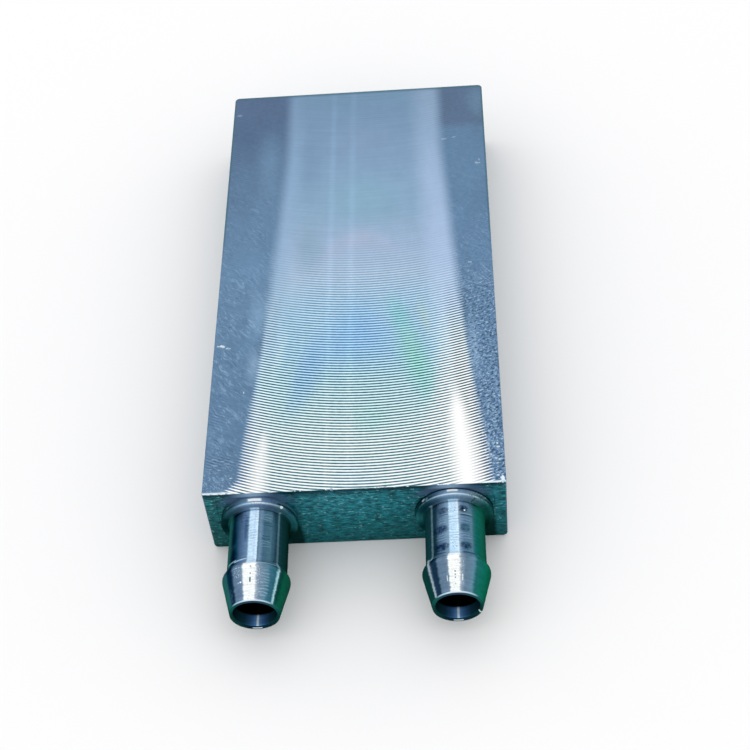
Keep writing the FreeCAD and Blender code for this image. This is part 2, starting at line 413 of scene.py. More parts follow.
def drawOneCut():
    pitch = flyCut["pitch"] * mm
    left = blockLow.x / mm - 1
    width = (blockHigh.x - blockLow.x) / mm + 2
    start = firstCut() * mm
    deselectAll()
    bpy.ops.mesh.primitive_grid_add(x_subdivisions=1, y_subdivisions=flyCut["across"], size=pitch,
                                    location=(left * mm, start + arcSag(left) * mm + pitch / 2, topZ))
    piece = newPiece("flyCutFace")
    pick(piece, "VERT", lambda place: place.x > left * mm)
    bpy.ops.mesh.delete(type="VERT")
    bpy.ops.object.mode_set(mode="OBJECT")
    low = min(vertex.co.y for vertex in piece.data.vertices)
    for vertex in piece.data.vertices:
        share = (vertex.co.y - low) / pitch
        crest = flyCut["lowest"] + flyCut["depth"] * (1 - 4 * share * (1 - share))
        vertex.co = (left * mm, vertex.co.y, topZ + crest * mm)
    enterEdit(piece, "EDGE")
    bpy.ops.mesh.select_all(action="SELECT")
    for step in range(flyCut["steps"]):
        here = left + width * step / flyCut["steps"]
        there = left + width * (step + 1) / flyCut["steps"]
        move = ((there - here) * mm, (arcSag(there) - arcSag(here)) * mm, 0)
        bpy.ops.mesh.extrude_region_move(TRANSFORM_OT_translate={"value": move})
    bpy.ops.object.mode_set(mode="OBJECT")
    return piece


def cutAway(place, outward):
    bpy.ops.mesh.select_all(action="SELECT")
    bpy.ops.mesh.bisect(plane_co=place, plane_no=outward, use_fill=False, clear_outer=True,
                        threshold=flyCut["merge"] * mm)


def trimToOutline(piece):
    inset = flyCut["inset"] * mm
    right, left = blockHigh.x - inset, blockLow.x + inset
    far, near = blockHigh.y - inset, blockLow.y + inset
    enterEdit(piece)
    for place, outward in (((right, 0, 0), (1, 0, 0)), ((left, 0, 0), (-1, 0, 0)),
                           ((0, far, 0), (0, 1, 0)), ((0, near, 0), (0, -1, 0))):
        cutAway(place, outward)
    for edgeX, side in ((right, 1), (left, -1)):
        for edgeY, way, radius in ((far, 1, flyCut["rearCorner"]), (near, -1, flyCut["frontCorner"])):
            radius = radius * mm
            middle = Vector((edgeX - side * radius, edgeY - way * radius, 0))
            for cut in range(flyCut["cornerCuts"]):
                angle = math.radians(90) * (cut + 0.5) / flyCut["cornerCuts"]
                outward = Vector((side * math.cos(angle), way * math.sin(angle), 0))
                cutAway(middle + outward * radius, outward)
    bpy.ops.object.mode_set(mode="OBJECT")


def closeUnderneath(piece):
    bottom = topZ - flyCut["skirt"] * mm
    enterEdit(piece, "EDGE")
    bpy.ops.mesh.select_all(action="DESELECT")
    bpy.ops.mesh.select_non_manifold()
    bpy.ops.mesh.extrude_edges_move(TRANSFORM_OT_translate={"value": (0, 0, bottom - topZ)})
    bpy.ops.transform.resize(value=(1, 1, 0), center_override=(0, 0, bottom))
    bpy.ops.mesh.edge_face_add()
    bpy.ops.mesh.select_all(action="SELECT")
    bpy.ops.mesh.normals_make_consistent(inside=False)
    bpy.ops.object.mode_set(mode="OBJECT")


def makeFlyCutFace():
    piece = drawOneCut()
    reach = (blockHigh.y - blockLow.y) / mm + arcSag(blockLow.x / mm) + 3 * flyCut["pitch"]
    rows = piece.modifiers.new("rows", "ARRAY")
    rows.count = math.ceil(reach / flyCut["pitch"])
    rows.use_relative_offset = False
    rows.use_constant_offset = True
    rows.constant_offset_displace = (0, flyCut["pitch"] * mm, 0)
    rows.use_merge_vertices = True
    rows.merge_threshold = flyCut["merge"] * mm
    selectOnly(piece)
    bpy.ops.object.modifier_apply(modifier=rows.name)
    trimToOutline(piece)
    closeUnderneath(piece)
    shadeByAngle(piece, flyCut["smoothBelow"])
    dress(piece, makeFlyCutFinish())
    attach(piece, "root")
    print("fly-cut face:", len(piece.data.polygons), "faces")


# Fly-cut finish: what the face looks like across and along, in millimetres

flyCutFinish = {
    "roughness": 0.30,
    "spread": 0.5,                    # how far the cuts draw a highlight out across themselves
    # the bright band is a painted reflection; its edges, each made of straight runs: place at mid-length and
    # drift
    "leftEdge": ((-10.95, 0.0), (-12.2, 0.055)),
    "leftFlare": (-37.5, -40.6, 2.3), # where the left one flares out at the near corner, and how far
    "rightEdge": ((12.9, 0.0), (14.55, -0.062), (13.8, -0.088)),
    "edgeSoft": (1.15, 0.4),          # how softly the band ends in the far half and in the near half
    "comb": (0.2, 1.1),               # how much further out the light cuts end: mid-length, near end
    "combGrows": (-14, -34),
    # the painted reflection's shades along the face
    "band": (
        (-40, 193, 212, 218), (-32, 187, 208, 211), (-24, 169, 198, 209), (-16, 156, 192, 212),
        (-7, 158, 190, 213), (-1, 164, 187, 211), (5, 154, 177, 205), (12, 136, 167, 193),
        (22, 130, 160, 189), (30, 122, 151, 181), (40, 113, 144, 172),
    ),
    # beside the band the face is darker, out of the painted reflection
    "leftSide": ((-40, 94, 124, 155), (-10, 100, 131, 162), (0, 104, 136, 168), (20, 92, 120, 150),
                 (30, 86, 111, 141), (40, 86, 107, 137)),
    "rightSide": ((-40, 90, 122, 158), (-10, 98, 130, 164), (29.5, 98, 129, 160), (31.5, 90, 112, 140),
                  (40, 88, 110, 138)),
    # the painted highlight strip inside each edge of the band: how far in it goes, and its shades
    "leftRim": (0.8, 3.4, ((-40, 214, 226, 231), (-22, 172, 200, 216), (2, 150, 178, 207),
                           (20, 136, 166, 197), (40, 120, 148, 178))),
    "rightRim": (1.8, 5.6, ((-40, 245, 249, 250), (-28, 231, 236, 238), (-16, 200, 218, 228),
                            (-8, 180, 202, 226), (2, 168, 190, 220), (20, 156, 180, 211),
                            (30, 141, 168, 197), (40, 134, 158, 185))),
    "rimWidens": (4.0, -18, -36),     # how much further in the right strip goes near the end, and where
    # painted white highlight streaks at the band's near corners: how far in, reach, where they start and are
    # full, share
    "leftStreak": (1.7, 2.0, -27, -38, 0.52),
    "rightStreak": (2.2, 2.9, -19.5, -36, 0.95),
    "streakStarts": 0.25,             # share of its reach that a streak starts with
    # soft tints of painted sheen in the band: across, along, reach, swatch, share
    "tints": (
        (2.4, -28, 4.2, 4.5, (163, 198, 201), 0.9),
        (0.0, -39, 4.5, 5.0, (184, 206, 222), 0.8),
        (-7.0, 5, 3.6, 8.0, (137, 165, 188), 0.8),
        (-7.3, 26, 3.6, 14.0, (120, 150, 179), 0.9),
        (1.0, 15, 8.0, 7.0, (134, 172, 194), 0.7),
        (1.0, 28, 8.0, 6.0, (130, 155, 186), 0.6),
    ),
    # the same, but bent into arches that lean on the middle of the band
    "archBend": (0.11, 0.8),
    "archTints": (
        (0.2, -12.8, 8.4, 9.6, (141, 181, 218), 1.0),
        (-6.6, -13.6, 4.2, 8.0, (141, 179, 214), 1.0),
        (-10.8, -1.5, 1.8, 5.5, (184, 208, 216), 0.7),
        (6.4, -6.5, 3.0, 5.5, (138, 190, 202), 1.0),
        (8.6, -11.6, 4.0, 8.4, (143, 196, 192), 1.0),
        (9.9, -1.0, 1.7, 4.5, (172, 196, 196), 0.6),
        (0.5, 6.2, 9.0, 3.4, (163, 179, 205), 0.85),
    ),
    # the same beside the band, mostly lighter near its edges as painted sheen
    "sideTints": (
        (-13.6, 22, 3.2, 12.0, (107, 138, 169), 0.9), (-13.8, -8, 2.4, 6.5, (130, 162, 194), 0.7),
        (-14.0, -18, 1.8, 4.5, (136, 166, 196), 0.8),
        (15.8, -17, 2.4, 9.0, (146, 178, 212), 0.95), (19.2, 36, 2.6, 6.0, (104, 134, 160), 0.8),
        (-19, 34, 2.0, 6.0, (84, 108, 138), 0.6),
    ),
    # two painted reflections, as lighter lines along the face
    "stripes": ((-3.8, 0.8), (-0.7, 0.9)),        # two lighter lines along the face: place, reach
    "stripeLift": 0.09,
    # how far the cuts' painted light and shade swing about the band in red, green and blue: near part and
    # blue part
    "cutsNear": (0.98, 0.84, 0.80, 1.0),
    "cutsBlue": (0.80, 0.60, 0.48, 1.0),
    "cutsTurn": (-22, -13),
    "cutsFade": (10, -13),            # where along the face they start to show and are full
    "calmEdges": (0.5, 1.0),          # share of the swing that is left at the band's edges, far and near
    "turnsNear": (0, -14),            # where along the face the near half's ways start and are full
    # small nicks: across, along, reach, share
    "nicks": (
        (-19.0, -14.0, 1.1, 0.5, 0.8), (-18.0, -14.4, 0.7, 0.3, 0.5), (-15.3, -22.7, 0.3, 0.3, 0.6),
        (18.6, 21.5, 0.8, 0.4, 0.3), (18.9, 22.2, 0.3, 0.5, 0.2), (16.7, 0.2, 0.5, 0.3, 0.4),
        (13.6, 27.4, 0.9, 0.35, 0.2), (15.2, 27.7, 0.6, 0.3, 0.2), (-19.1, 35.7, 0.9, 0.5, 0.14),
        (19.6, -39.3, 0.6, 0.75, 1.0), (19.2, -39.8, 0.7, 0.3, 0.9), (19.0, -38.8, 0.3, 0.2, 0.9),
        (19.1, -33.5, 0.3, 0.3, 0.8), (19.2, -34.1, 0.5, 0.2, 0.7), (17.9, -33.6, 0.3, 0.3, 0.6),
        (17.6, -34.7, 0.3, 0.2, 0.6), (18.2, -35.4, 0.25, 0.3, 0.6), (18.8, -36.0, 0.3, 0.25, 0.6),
        (19.3, -36.2, 0.3, 0.25, 0.7), (19.0, -36.8, 0.35, 0.2, 0.7), (18.0, -34.3, 0.2, 0.25, 0.5),
        (-18.9, -34.2, 0.8, 0.13, 0.3), (-17.6, -34.5, 0.7, 0.11, 0.3), (-18.6, -35.2, 0.9, 0.12, 0.35),
        (-17.0, -35.0, 0.8, 0.11, 0.25), (-19.2, -35.8, 0.6, 0.11, 0.25), (-17.9, -36.0, 0.7, 0.11, 0.25),
        (-16.3, -37.4, 0.35, 0.16, 0.7),
    ),
    # where a few cuts show beside the band: across, along, reach, share
    "traces": ((-18.0, -34.6, 3.6, 1.5, 0.6), (-18.6, -27.0, 1.8, 2.6, 0.3), (17.6, -27.0, 2.2, 5.0, 0.3),
               (17.4, -8.0, 2.4, 6.0, 0.2)),
    "nickShade": paint(222, 238, 246),
    "nickRagged": (3.0, 0.9),         # how ragged the nicks are, and about which share
    # the darker gaps between the ends of the cuts, painted shade: from where to where inside the edge,
    # softness, share
    "betweenLeft": (-0.6, 1.6, 0.6, 0.3),
    "betweenRight": (-0.8, 2.0, 0.7, 0.8),
    "betweenShade": paint(38, 76, 86),
    # thin lines along the edges: where they start and are full
    "farLine": (39.2, 39.8),
    "sideLine": (19.6, 19.85),
    "sideLineShows": (0, 10),
    "farShade": paint(70, 108, 124),
    "farShare": 0.7,
    "nearLine": (-39.55, -39.8),
    "nearShade": paint(214, 234, 244),
    # the cuts: what they and their unevenness weigh, and how far inside the edges they are calmer
    "cutWeights": (0.9, 0.7),
    "calmReach": (0.5, 6.0),
    # how much each grain changes the shade
    "cloudSwing": 0.16,
    "brushSwing": (0.2, 0.32),        # near part and far part
    "brushTurns": (-12, 14),
    "sideSwings": (0.30, 0.34, 0.14), # beside the band: clouds, mottle, brushing
    # scratches beside the band: their slant in degrees, where they fade, and for the dark and the light
    # ones where the grain starts to count and is full, and the share
    "scratchSlant": -52,
    "scratchFades": (34, -16),
    "scratchPatches": (0.3, 0.6),
    "scored": (0.46, 0.34, 0.22),
    "scuffed": (0.5, 0.68),
    "scuffShade": paint(146, 178, 208),
    "scuffShare": 0.62,
    # speckle on the right: where along it grows and by how much, and its light and its dark grains
    "speckleGrows": ((22, 2, 0.12), (4, -12, 0.88)),
    "speckleLight": (0.54, 0.68, 0.9),
    "speckleDark": (0.49, 0.36, 0.66),
    "speckShade": paint(170, 200, 228),
    # loose specks near the end, on the right and everywhere
    "specksRight": (-14, -24, 0.8),
    "specksNear": (-33, -38, 0.35),
    "reliefDepth": 0.01,
    "reliefStrength": 0.6,
    "roughSwing": 0.12,
    "grains": {
        "uneven": dict(scales=(1.8, 2.1)),
        "brushing": dict(scales=(0.09, 2.6), detail=6, roughness=0.65),
        "clouds": dict(scales=(0.5, 0.28), detail=4, roughness=0.6),
        "sideClouds": dict(scales=(0.22, 0.12), detail=3, start=3.0),
        "mottle": dict(scales=(1.3, 1.3), detail=4, roughness=0.65),
        "scratches": dict(scales=(0.6, 2.2), detail=4, roughness=0.62, distortion=1.3),
        "patches": dict(scales=(0.25, 0.18), start=9.0),
        "speckle": dict(scales=(2.4, 3.2), detail=3, roughness=0.6, distortion=0.4, start=5.0),
        "specks": dict(scales=(2.8, 3.2), detail=2, roughness=0.6, start=12.0),
        "nickEdges": dict(scales=(3.5, 3.5), detail=3),
    },
}


def followCuts(x, y):
    # the way along the block measured on the cutter's arc, how light a cut is, and the way across it
    radius = flyCut["arcRadius"]
    run = minus(x, flyCut["arcCentre"])
    rise = calc("SQRT", minus(radius ** 2, times(run, run)))
    along = plus(minus(y, radius), rise)
    through = calc("DIVIDE", minus(along, firstCut()), flyCut["pitch"])
    wave = calc("SINE", times(through, 2 * math.pi))
    return along, wave, joined(times(run, -1 / radius), times(rise, 1 / radius), 0.0)


def paintTints(x, y, shade, tints):
    for *place, swatch, share in tints:
        shade = mixColour(times(spot(x, y, *place), share), shade, paint(*swatch))
    return shade


def paintBand(x, y, along, fromLeft, fromRight, wave, cutsShow, nearHalf):
    look = flyCutFinish
    grains = look["grains"]
    bend, middle = look["archBend"]
    aside = minus(x, middle)
    arch = scaled(times(aside, aside), bend, y)
    # painted sheen tints, straight and bent into arches
    shade = paintTints(x, y, shadesAlong(y, look["band"]), look["tints"])
    shade = paintTints(x, arch, shade, look["archTints"])
    # two lighter lines painted as reflections
    for place, reach in look["stripes"]:
        shade = scaleColour(shade, scaled(hump(x, place, reach), look["stripeLift"], 1.0))
    wider, start, end = look["rimWidens"]
    wider = partly(y, start, end, wider)
    # painted highlight strips inside the band's edges
    for fromEdge, name, more in ((fromLeft, "leftRim", 0.0), (fromRight, "rightRim", wider)):
        full, end, stops = look[name]
        shade = mixColour(softStep(fromEdge, plus(more, end), full), shade, shadesAlong(y, stops))

    # the cuts themselves: real scallops in the mesh, with their lit and shaded sides painted as light and
    # dark lines, a little uneven along their length and calmer at the edges
    cutWeight, unevenWeight = look["cutWeights"]
    uneven = grain((x, along), **grains["uneven"])
    swing = scaled(wave, cutWeight, vary(uneven, unevenWeight, 0.0))
    inward = calc("MINIMUM", fromLeft, fromRight)
    calm = larger(fromTo(nearHalf, *look["calmEdges"]), softStep(inward, *look["calmReach"]))
    swing = times(minus(softStep(swing, -1.0, 1.0), 0.5), 2.0, calm, cutsShow)
    reach = mixColour(softStep(y, *look["cutsTurn"]), look["cutsNear"], look["cutsBlue"])
    factor = mixColour(1.0, scaleColour(reach, swing), (1, 1, 1, 1), "ADD")
    shade = mixColour(1.0, shade, factor, "MULTIPLY")

    # faint brushing that follows the cuts
    brushed = grain((x, along), **grains["brushing"])
    shade = scaleColour(shade, vary(grain((x, y), **grains["clouds"]), look["cloudSwing"]))
    strong = fromTo(softStep(y, *look["brushTurns"]), *look["brushSwing"])
    return scaleColour(shade, scaled(minus(brushed, 0.5), strong, 1.0)), brushed


def paintStreaks(y, shade, fromLeft, fromRight):
    # painted white highlight streaks at the band's near corners
    for fromEdge, name in ((fromLeft, "leftStreak"), (fromRight, "rightStreak")):
        inward, reach, start, full, share = flyCutFinish[name]
        grown = softStep(y, start, full)
        width = fromTo(grown, reach * flyCutFinish["streakStarts"], reach)
        apart = calc("DIVIDE", absolute(minus(fromEdge, inward)), width)
        here = times(softStep(apart, 1.0, 0.0), softStep(grown, 0.0, 0.5), share)
        shade = mixColour(here, shade, paint(255, 255, 255))
    return shade


def paintSides(x, y, along, wave, brushed):
    look = flyCutFinish
    grains = look["grains"]
    onRight = softStep(x, -1, 1)
    shade = mixColour(onRight, shadesAlong(y, look["leftSide"]), shadesAlong(y, look["rightSide"]))
    shade = paintTints(x, y, shade, look["sideTints"])
    clouds = grain((x, y), **grains["sideClouds"])
    mottle = grain((x, y), **grains["mottle"])
    for source, swing in zip((clouds, mottle, brushed), look["sideSwings"]):
        shade = scaleColour(shade, vary(source, swing))

    # light scratches that curl and cross
    slant = math.radians(look["scratchSlant"])
    lengthwise = scaled(x, math.cos(slant), times(y, math.sin(slant)))
    athwart = scaled(y, math.cos(slant), times(x, -math.sin(slant)))
    scratches = grain((lengthwise, athwart), **grains["scratches"])
    patches = softStep(grain((x, y), **grains["patches"]), *look["scratchPatches"])
    shown = times(patches, softStep(y, *look["scratchFades"]))
    scuffs = times(softStep(scratches, *look["scuffed"]), shown)
    shade = mixColour(times(scuffs, look["scuffShare"]), shade, look["scuffShade"])
    shade = scaleColour(shade, minus(1.0, times(partly(scratches, *look["scored"]), shown)))
    traced = times(wave, softStep(mottle, 0.35, 0.6))
    for *place, share in look["traces"]:
        shade = scaleColour(shade, scaled(times(spot(x, y, *place), share), traced, 1.0))

    # on the right the cuts go on as a dense speckle
    speckle = grain((x, along), **grains["speckle"])
    thick = 0.0
    for start, full, share in look["speckleGrows"]:
        thick = scaled(softStep(y, start, full), share, thick)
    thick = times(thick, onRight)
    lighter = times(partly(speckle, *look["speckleLight"]), thick)
    darker = times(partly(speckle, *look["speckleDark"]), thick)
    shade = mixColour(lighter, shade, look["speckShade"])
    shade = scaleColour(shade, minus(1.0, darker))
    specks = softStep(grain((x, y), **grains["specks"]), 0.56, 0.66)
    crowded = larger(times(onRight, partly(y, *look["specksRight"])), partly(y, *look["specksNear"]))
    return mixColour(times(specks, crowded), shade, look["speckShade"]), plus(scuffs, lighter)


def edgeOfBand(y, runs, outermost):
    edge = runs[0][0]
    for place, drift in runs[1:]:
        edge = calc(outermost, edge, scaled(y, drift, place))
    return edge


def makeFlyCutFinish():
    look = flyCutFinish
    material, shader = startFinish("flyCutAluminium")
    x, y, z = placeInMillimetres()
    along, wave, across = followCuts(x, y)
    cutsShow = softStep(y, *look["cutsFade"])
    nearHalf = softStep(y, *look["turnsNear"])

    # how far a point lies inside each edge of the painted reflection band, with the ends of the cuts combed
    fromLeft = minus(x, edgeOfBand(y, look["leftEdge"], "MINIMUM"))
    fromRight = minus(edgeOfBand(y, look["rightEdge"], "MAXIMUM"), x)
    comb = times(wave, cutsShow, fromTo(softStep(y, *look["combGrows"]), *look["comb"]))
    soft = fromTo(nearHalf, *look["edgeSoft"])
    under = times(soft, -1)
    flared = plus(fromLeft, partly(y, *look["leftFlare"]))
    inBand = times(softStep(plus(flared, comb), under, soft), softStep(plus(fromRight, comb), under, soft))

    bandShade, brushed = paintBand(x, y, along, fromLeft, fromRight, wave, cutsShow, nearHalf)
    sideShade, height = paintSides(x, y, along, wave, brushed)
    # the painted reflection band laid over the face beside it
    shade = mixColour(inBand, sideShade, bandShade)

    # between the ends of the cuts, near the end of the block, painted shade makes it darker than beside them
    (*left, leftShare), (*right, rightShare) = look["betweenLeft"], look["betweenRight"]
    ends = larger(times(band(fromRight, *right), rightShare), times(band(fromLeft, *left), leftShare))
    between = times(softStep(wave, 0.1, -0.6), nearHalf, ends)
    shade = mixColour(between, shade, look["betweenShade"])
    shade = paintStreaks(y, shade, fromLeft, fromRight)

    # a thin dark line along the far edge and the far sides, a thin light one along the near edge
    alongSides = times(softStep(absolute(x), *look["sideLine"]), softStep(y, *look["sideLineShows"]))
    farLine = times(larger(softStep(y, *look["farLine"]), alongSides), look["farShare"])
    shade = mixColour(farLine, shade, look["farShade"])
    nearLine = times(softStep(y, *look["nearLine"]), softStep(inBand, 0.6, 0.2))
    shade = mixColour(nearLine, shade, look["nearShade"])

    # small nicks with ragged outlines
    ragged = vary(grain((x, y), **look["grains"]["nickEdges"]), *look["nickRagged"])
    for *place, share in look["nicks"]:
        here = partly(times(spot(x, y, *place), ragged), 0.3, 0.6, share)
        shade = mixColour(here, shade, look["nickShade"])

    shader.inputs["Anisotropic"].default_value = look["spread"]
    feed(shader.inputs["Tangent"], across)
    endFinish(shader, shade, vary(brushed, look["roughSwing"], look["roughness"]), height,
              look["reliefDepth"], look["reliefStrength"])
    return material


# Hose nozzles: turned from bar, millimetres out from the end face and radii

nozzle = {
    "sides": 128,
    "spigotRadius": 3.45,
    "boreRadius": 2.8,
    "mouthRadius": 3.05,
    "countersink": 0.3,
    "tipRadius": 3.25,
    "crestRadius": 4.45,
    "shankRadius": 3.95,
    "flangeRadius": 5.15,
    "flangeThickness": 1.0,
    "shankEnd": 9.0,
    "rampEnd": 9.85,
    "crestEnd": 10.2,
    "bevels": (
        # place out from the end face, radius, size of the rounding, steps in it
        ("flangeThickness", "flangeRadius", 0.28, 4),
        ("flangeThickness", "shankRadius", 0.08, 2),
        ("shankEnd", "shankRadius", 0.18, 3),
        ("rampEnd", "crestRadius", 0.14, 3),
        ("crestEnd", "crestRadius", 0.16, 3),
        ("tip", "tipRadius", 0.05, 2),
    ),
    "samePlace": 0.01,       # how close to a ring an edge counts as part of it
    "smoothBelow": 32,       # degrees between faces
}


def makeNozzle(name, node):
    low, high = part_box(node)
    axisX, axisZ = (low.x + high.x) / 2, (low.z + high.z) / 2
    face = blockLow.y
    tip = (face - low.y) / mm
    back = (face - high.y) / mm
    stations = [
        (back, nozzle["spigotRadius"]),
        (0.0, nozzle["spigotRadius"]),
        (0.0, nozzle["flangeRadius"]),
        (nozzle["flangeThickness"], nozzle["flangeRadius"]),
        (nozzle["flangeThickness"], nozzle["shankRadius"]),
        (nozzle["shankEnd"], nozzle["shankRadius"]),
        (nozzle["rampEnd"], nozzle["crestRadius"]),
        (nozzle["crestEnd"], nozzle["crestRadius"]),
        (tip, nozzle["tipRadius"]),
        (tip, nozzle["mouthRadius"]),
        (tip - nozzle["countersink"], nozzle["boreRadius"]),
        (back, nozzle["boreRadius"]),
    ]
    deselectAll()
    bpy.ops.mesh.primitive_circle_add(vertices=nozzle["sides"], radius=stations[0][1] * mm,
                                      location=(axisX, face - back * mm, axisZ),
                                      rotation=(math.radians(90), 0, 0))
    piece = newPiece(name)
    enterEdit(piece, "EDGE")
    bpy.ops.mesh.select_all(action="SELECT")
    for before, after in zip(stations, stations[1:]):
        bpy.ops.mesh.extrude_region_move(
            TRANSFORM_OT_translate={"value": (0, (before[0] - after[0]) * mm, 0)})
        grown = after[1] / before[1]
        bpy.ops.transform.resize(value=(grown, 1, grown),
                                 center_override=(axisX, face - after[0] * mm, axisZ))
    bpy.ops.mesh.select_non_manifold(extend=False)
    bpy.ops.mesh.bridge_edge_loops()
    bpy.ops.mesh.select_all(action="SELECT")
    bpy.ops.mesh.normals_make_consistent(inside=False)

    def atRing(out, radius):
        def test(place):
            reach = math.hypot(place.x - axisX, place.z - axisZ) / mm
            apart = max(abs((face - place.y) / mm - out), abs(reach - radius))
            return apart < nozzle["samePlace"]
        return test

    for out, radius, size, steps in nozzle["bevels"]:
        out = tip if out == "tip" else nozzle[out]
        pick(piece, "EDGE", atRing(out, nozzle[radius]))
        bpy.ops.mesh.bevel(offset=size * mm, segments=steps, affect="EDGES")
    bpy.ops.object.mode_set(mode="OBJECT")
    shadeByAngle(piece, nozzle["smoothBelow"])
    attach(piece, "root")
    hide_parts(node)
    print(name + ":", len(piece.data.polygons), "faces")
    return piece


# Turned finish: shades by the angle from the top in degrees, to the right as seen from the mouth, mostly
# painted reflections and highlights

turnedFinish = {
    "roughness": 0.22,
    # the teal that the metal's reflection keeps at a slant is a painted reflection
    "flank": paint(70, 130, 122),       # what the metal keeps where it is seen at a slant
    "flankMetal": 0.12,                 # how mirror-like the flanks, the barb's back and the bore are
    "stray": (3.0, 8.0),                # degrees by which the borders between shades stray: shank, cone
    # how much each grain changes the shade
    "latheSwing": 0.9,
    "blotchSwing": 0.7,
    "ringSwing": 1.4,
    "boreSwing": 0.8,
    "fleckSwing": 0.6,
    # by the angle from the bottom: a painted highlight on the lower wall near the mouth and painted shade
    # deeper in, brighter than it looks since little light falls in
    "bore": (
        (0, 214, 240, 255), (2.2, 214, 240, 255), (4.0, 100, 150, 205), (12, 66, 112, 165),
        (22, 44, 84, 124), (36, 22, 58, 74), (62, 12, 42, 50), (95, 5, 14, 16), (180, 3, 8, 9),
    ),
    "boreDeep": 0.004,                  # share of the shade that is left deep in the bore
    "boreFades": (13.0, 13.4),
    "boreWall": (2.86, 2.82),
    # where the finishes meet: places out from the end face and distances from the axis
    "coneOut": (9.55, 9.85),
    "lipOut": (14.68, 14.74),
    "ringOut": (14.86, 14.92),
    "ringWavers": 0.1,
    "mouthOut": (14.0, 14.2),
    "mouthWall": (3.24, 3.2),
    "flangeOut": (1.12, 1.02),
    "flangeRim": (4.6, 4.9),
    "flangeLight": (0.78, 1.02),        # of the flange's face and of its rim
    "flangeRoot": (4.28, 4.14, 0.8),    # what it takes over from the shank close to it
    # the painted highlight line on the flange: its width, where it starts, how far it is broken and from
    # which angle
    "lineWidth": 0.13,
    "lineFrom": (4.75, 4.85),
    "lineWhole": 0.95,
    "lineBroken": 0.75,
    "lineBreaks": (40, 52),
    "lineGaps": (0.40, 0.54),
    # the painted white highlight patch: how its ends waver, its softness by angle and place out, where it
    # starts
    "patchWavers": 3.0,
    "patchSoft": (1.6, 0.07),
    "patchFrom": (4.9, 5.0),
    "patchShade": paint(244, 249, 250),
    "outlineOut": (0.2, 0.06),
    "outlineBelow": (100, 115),
    "outlineShade": paint(10, 36, 50),
    "lipNickOut": (14.72, 14.78),
    "lipNickWidth": 4,
    "lipNickShade": paint(220, 236, 236),
    # what is dull: from which angle, where on the back of the barb, and the share on the flange
    "dullFrom": (36, 66),
    "dullBarb": (8.95, 9.8, 0.1),
    "dullFlange": 0.95,
    # how the marks are drawn: their borders and what each pattern leaves of them
    "markBorder": {"smears": (1.1, 0.1), "others": (1.1, 0.7)},
    "markRagged": 2.4,
    "rowsEvery": (9.0, 15.0),           # how far the rows stray, and how close they lie
    "smearsLeave": (0.3, 0.58),
    "specksLeave": (0.52, 0.64),
    "rowsLeave": (0.1, 0.4),
    "reliefDepth": 0.01,
    "reliefStrength": 0.4,
    "roughSwing": 0.12,
    "grains": {
        "uneven": dict(scales=(0.02, 2.4), detail=4, roughness=0.6),
        "lathe": dict(scales=(0.03, 4.2), detail=4, roughness=0.65, start=2.0),
        "blotches": dict(scales=(0.16, 2.2), detail=5, roughness=0.75, start=11.0),
        "flecks": dict(scales=(0.3, 1.6), detail=3, roughness=0.6, start=7.0),
        "smears": dict(scales=(0.16, 2.2), detail=5, roughness=0.8, start=4.0),
        "specks": dict(scales=(0.5, 5.5), detail=2, start=8.0),
        "wander": dict(scales=(0.06, 0.9), detail=2, start=21.0),
        "ragged": dict(scales=(0.3, 4.0), detail=4, roughness=0.7, start=15.0),
    },
    # the painted highlight on the lip, by the angle from the top
    "lip": ((0, 226, 240, 248), (30, 176, 206, 222), (42, 150, 184, 200), (54, 34, 96, 98),
            (90, 16, 84, 72), (180, 16, 72, 66)),
    # the ring round the mouth, a painted reflection, and the painted glint at its bottom
    "ring": ((0, 42, 66, 88), (30, 36, 72, 88), (56, 22, 78, 76), (100, 14, 58, 54), (150, 10, 40, 48),
             (180, 12, 40, 54)),
    "glint": (13, 3.02, 0.07, paint(214, 236, 250)),    # half its angle, distance out, width, shade
}

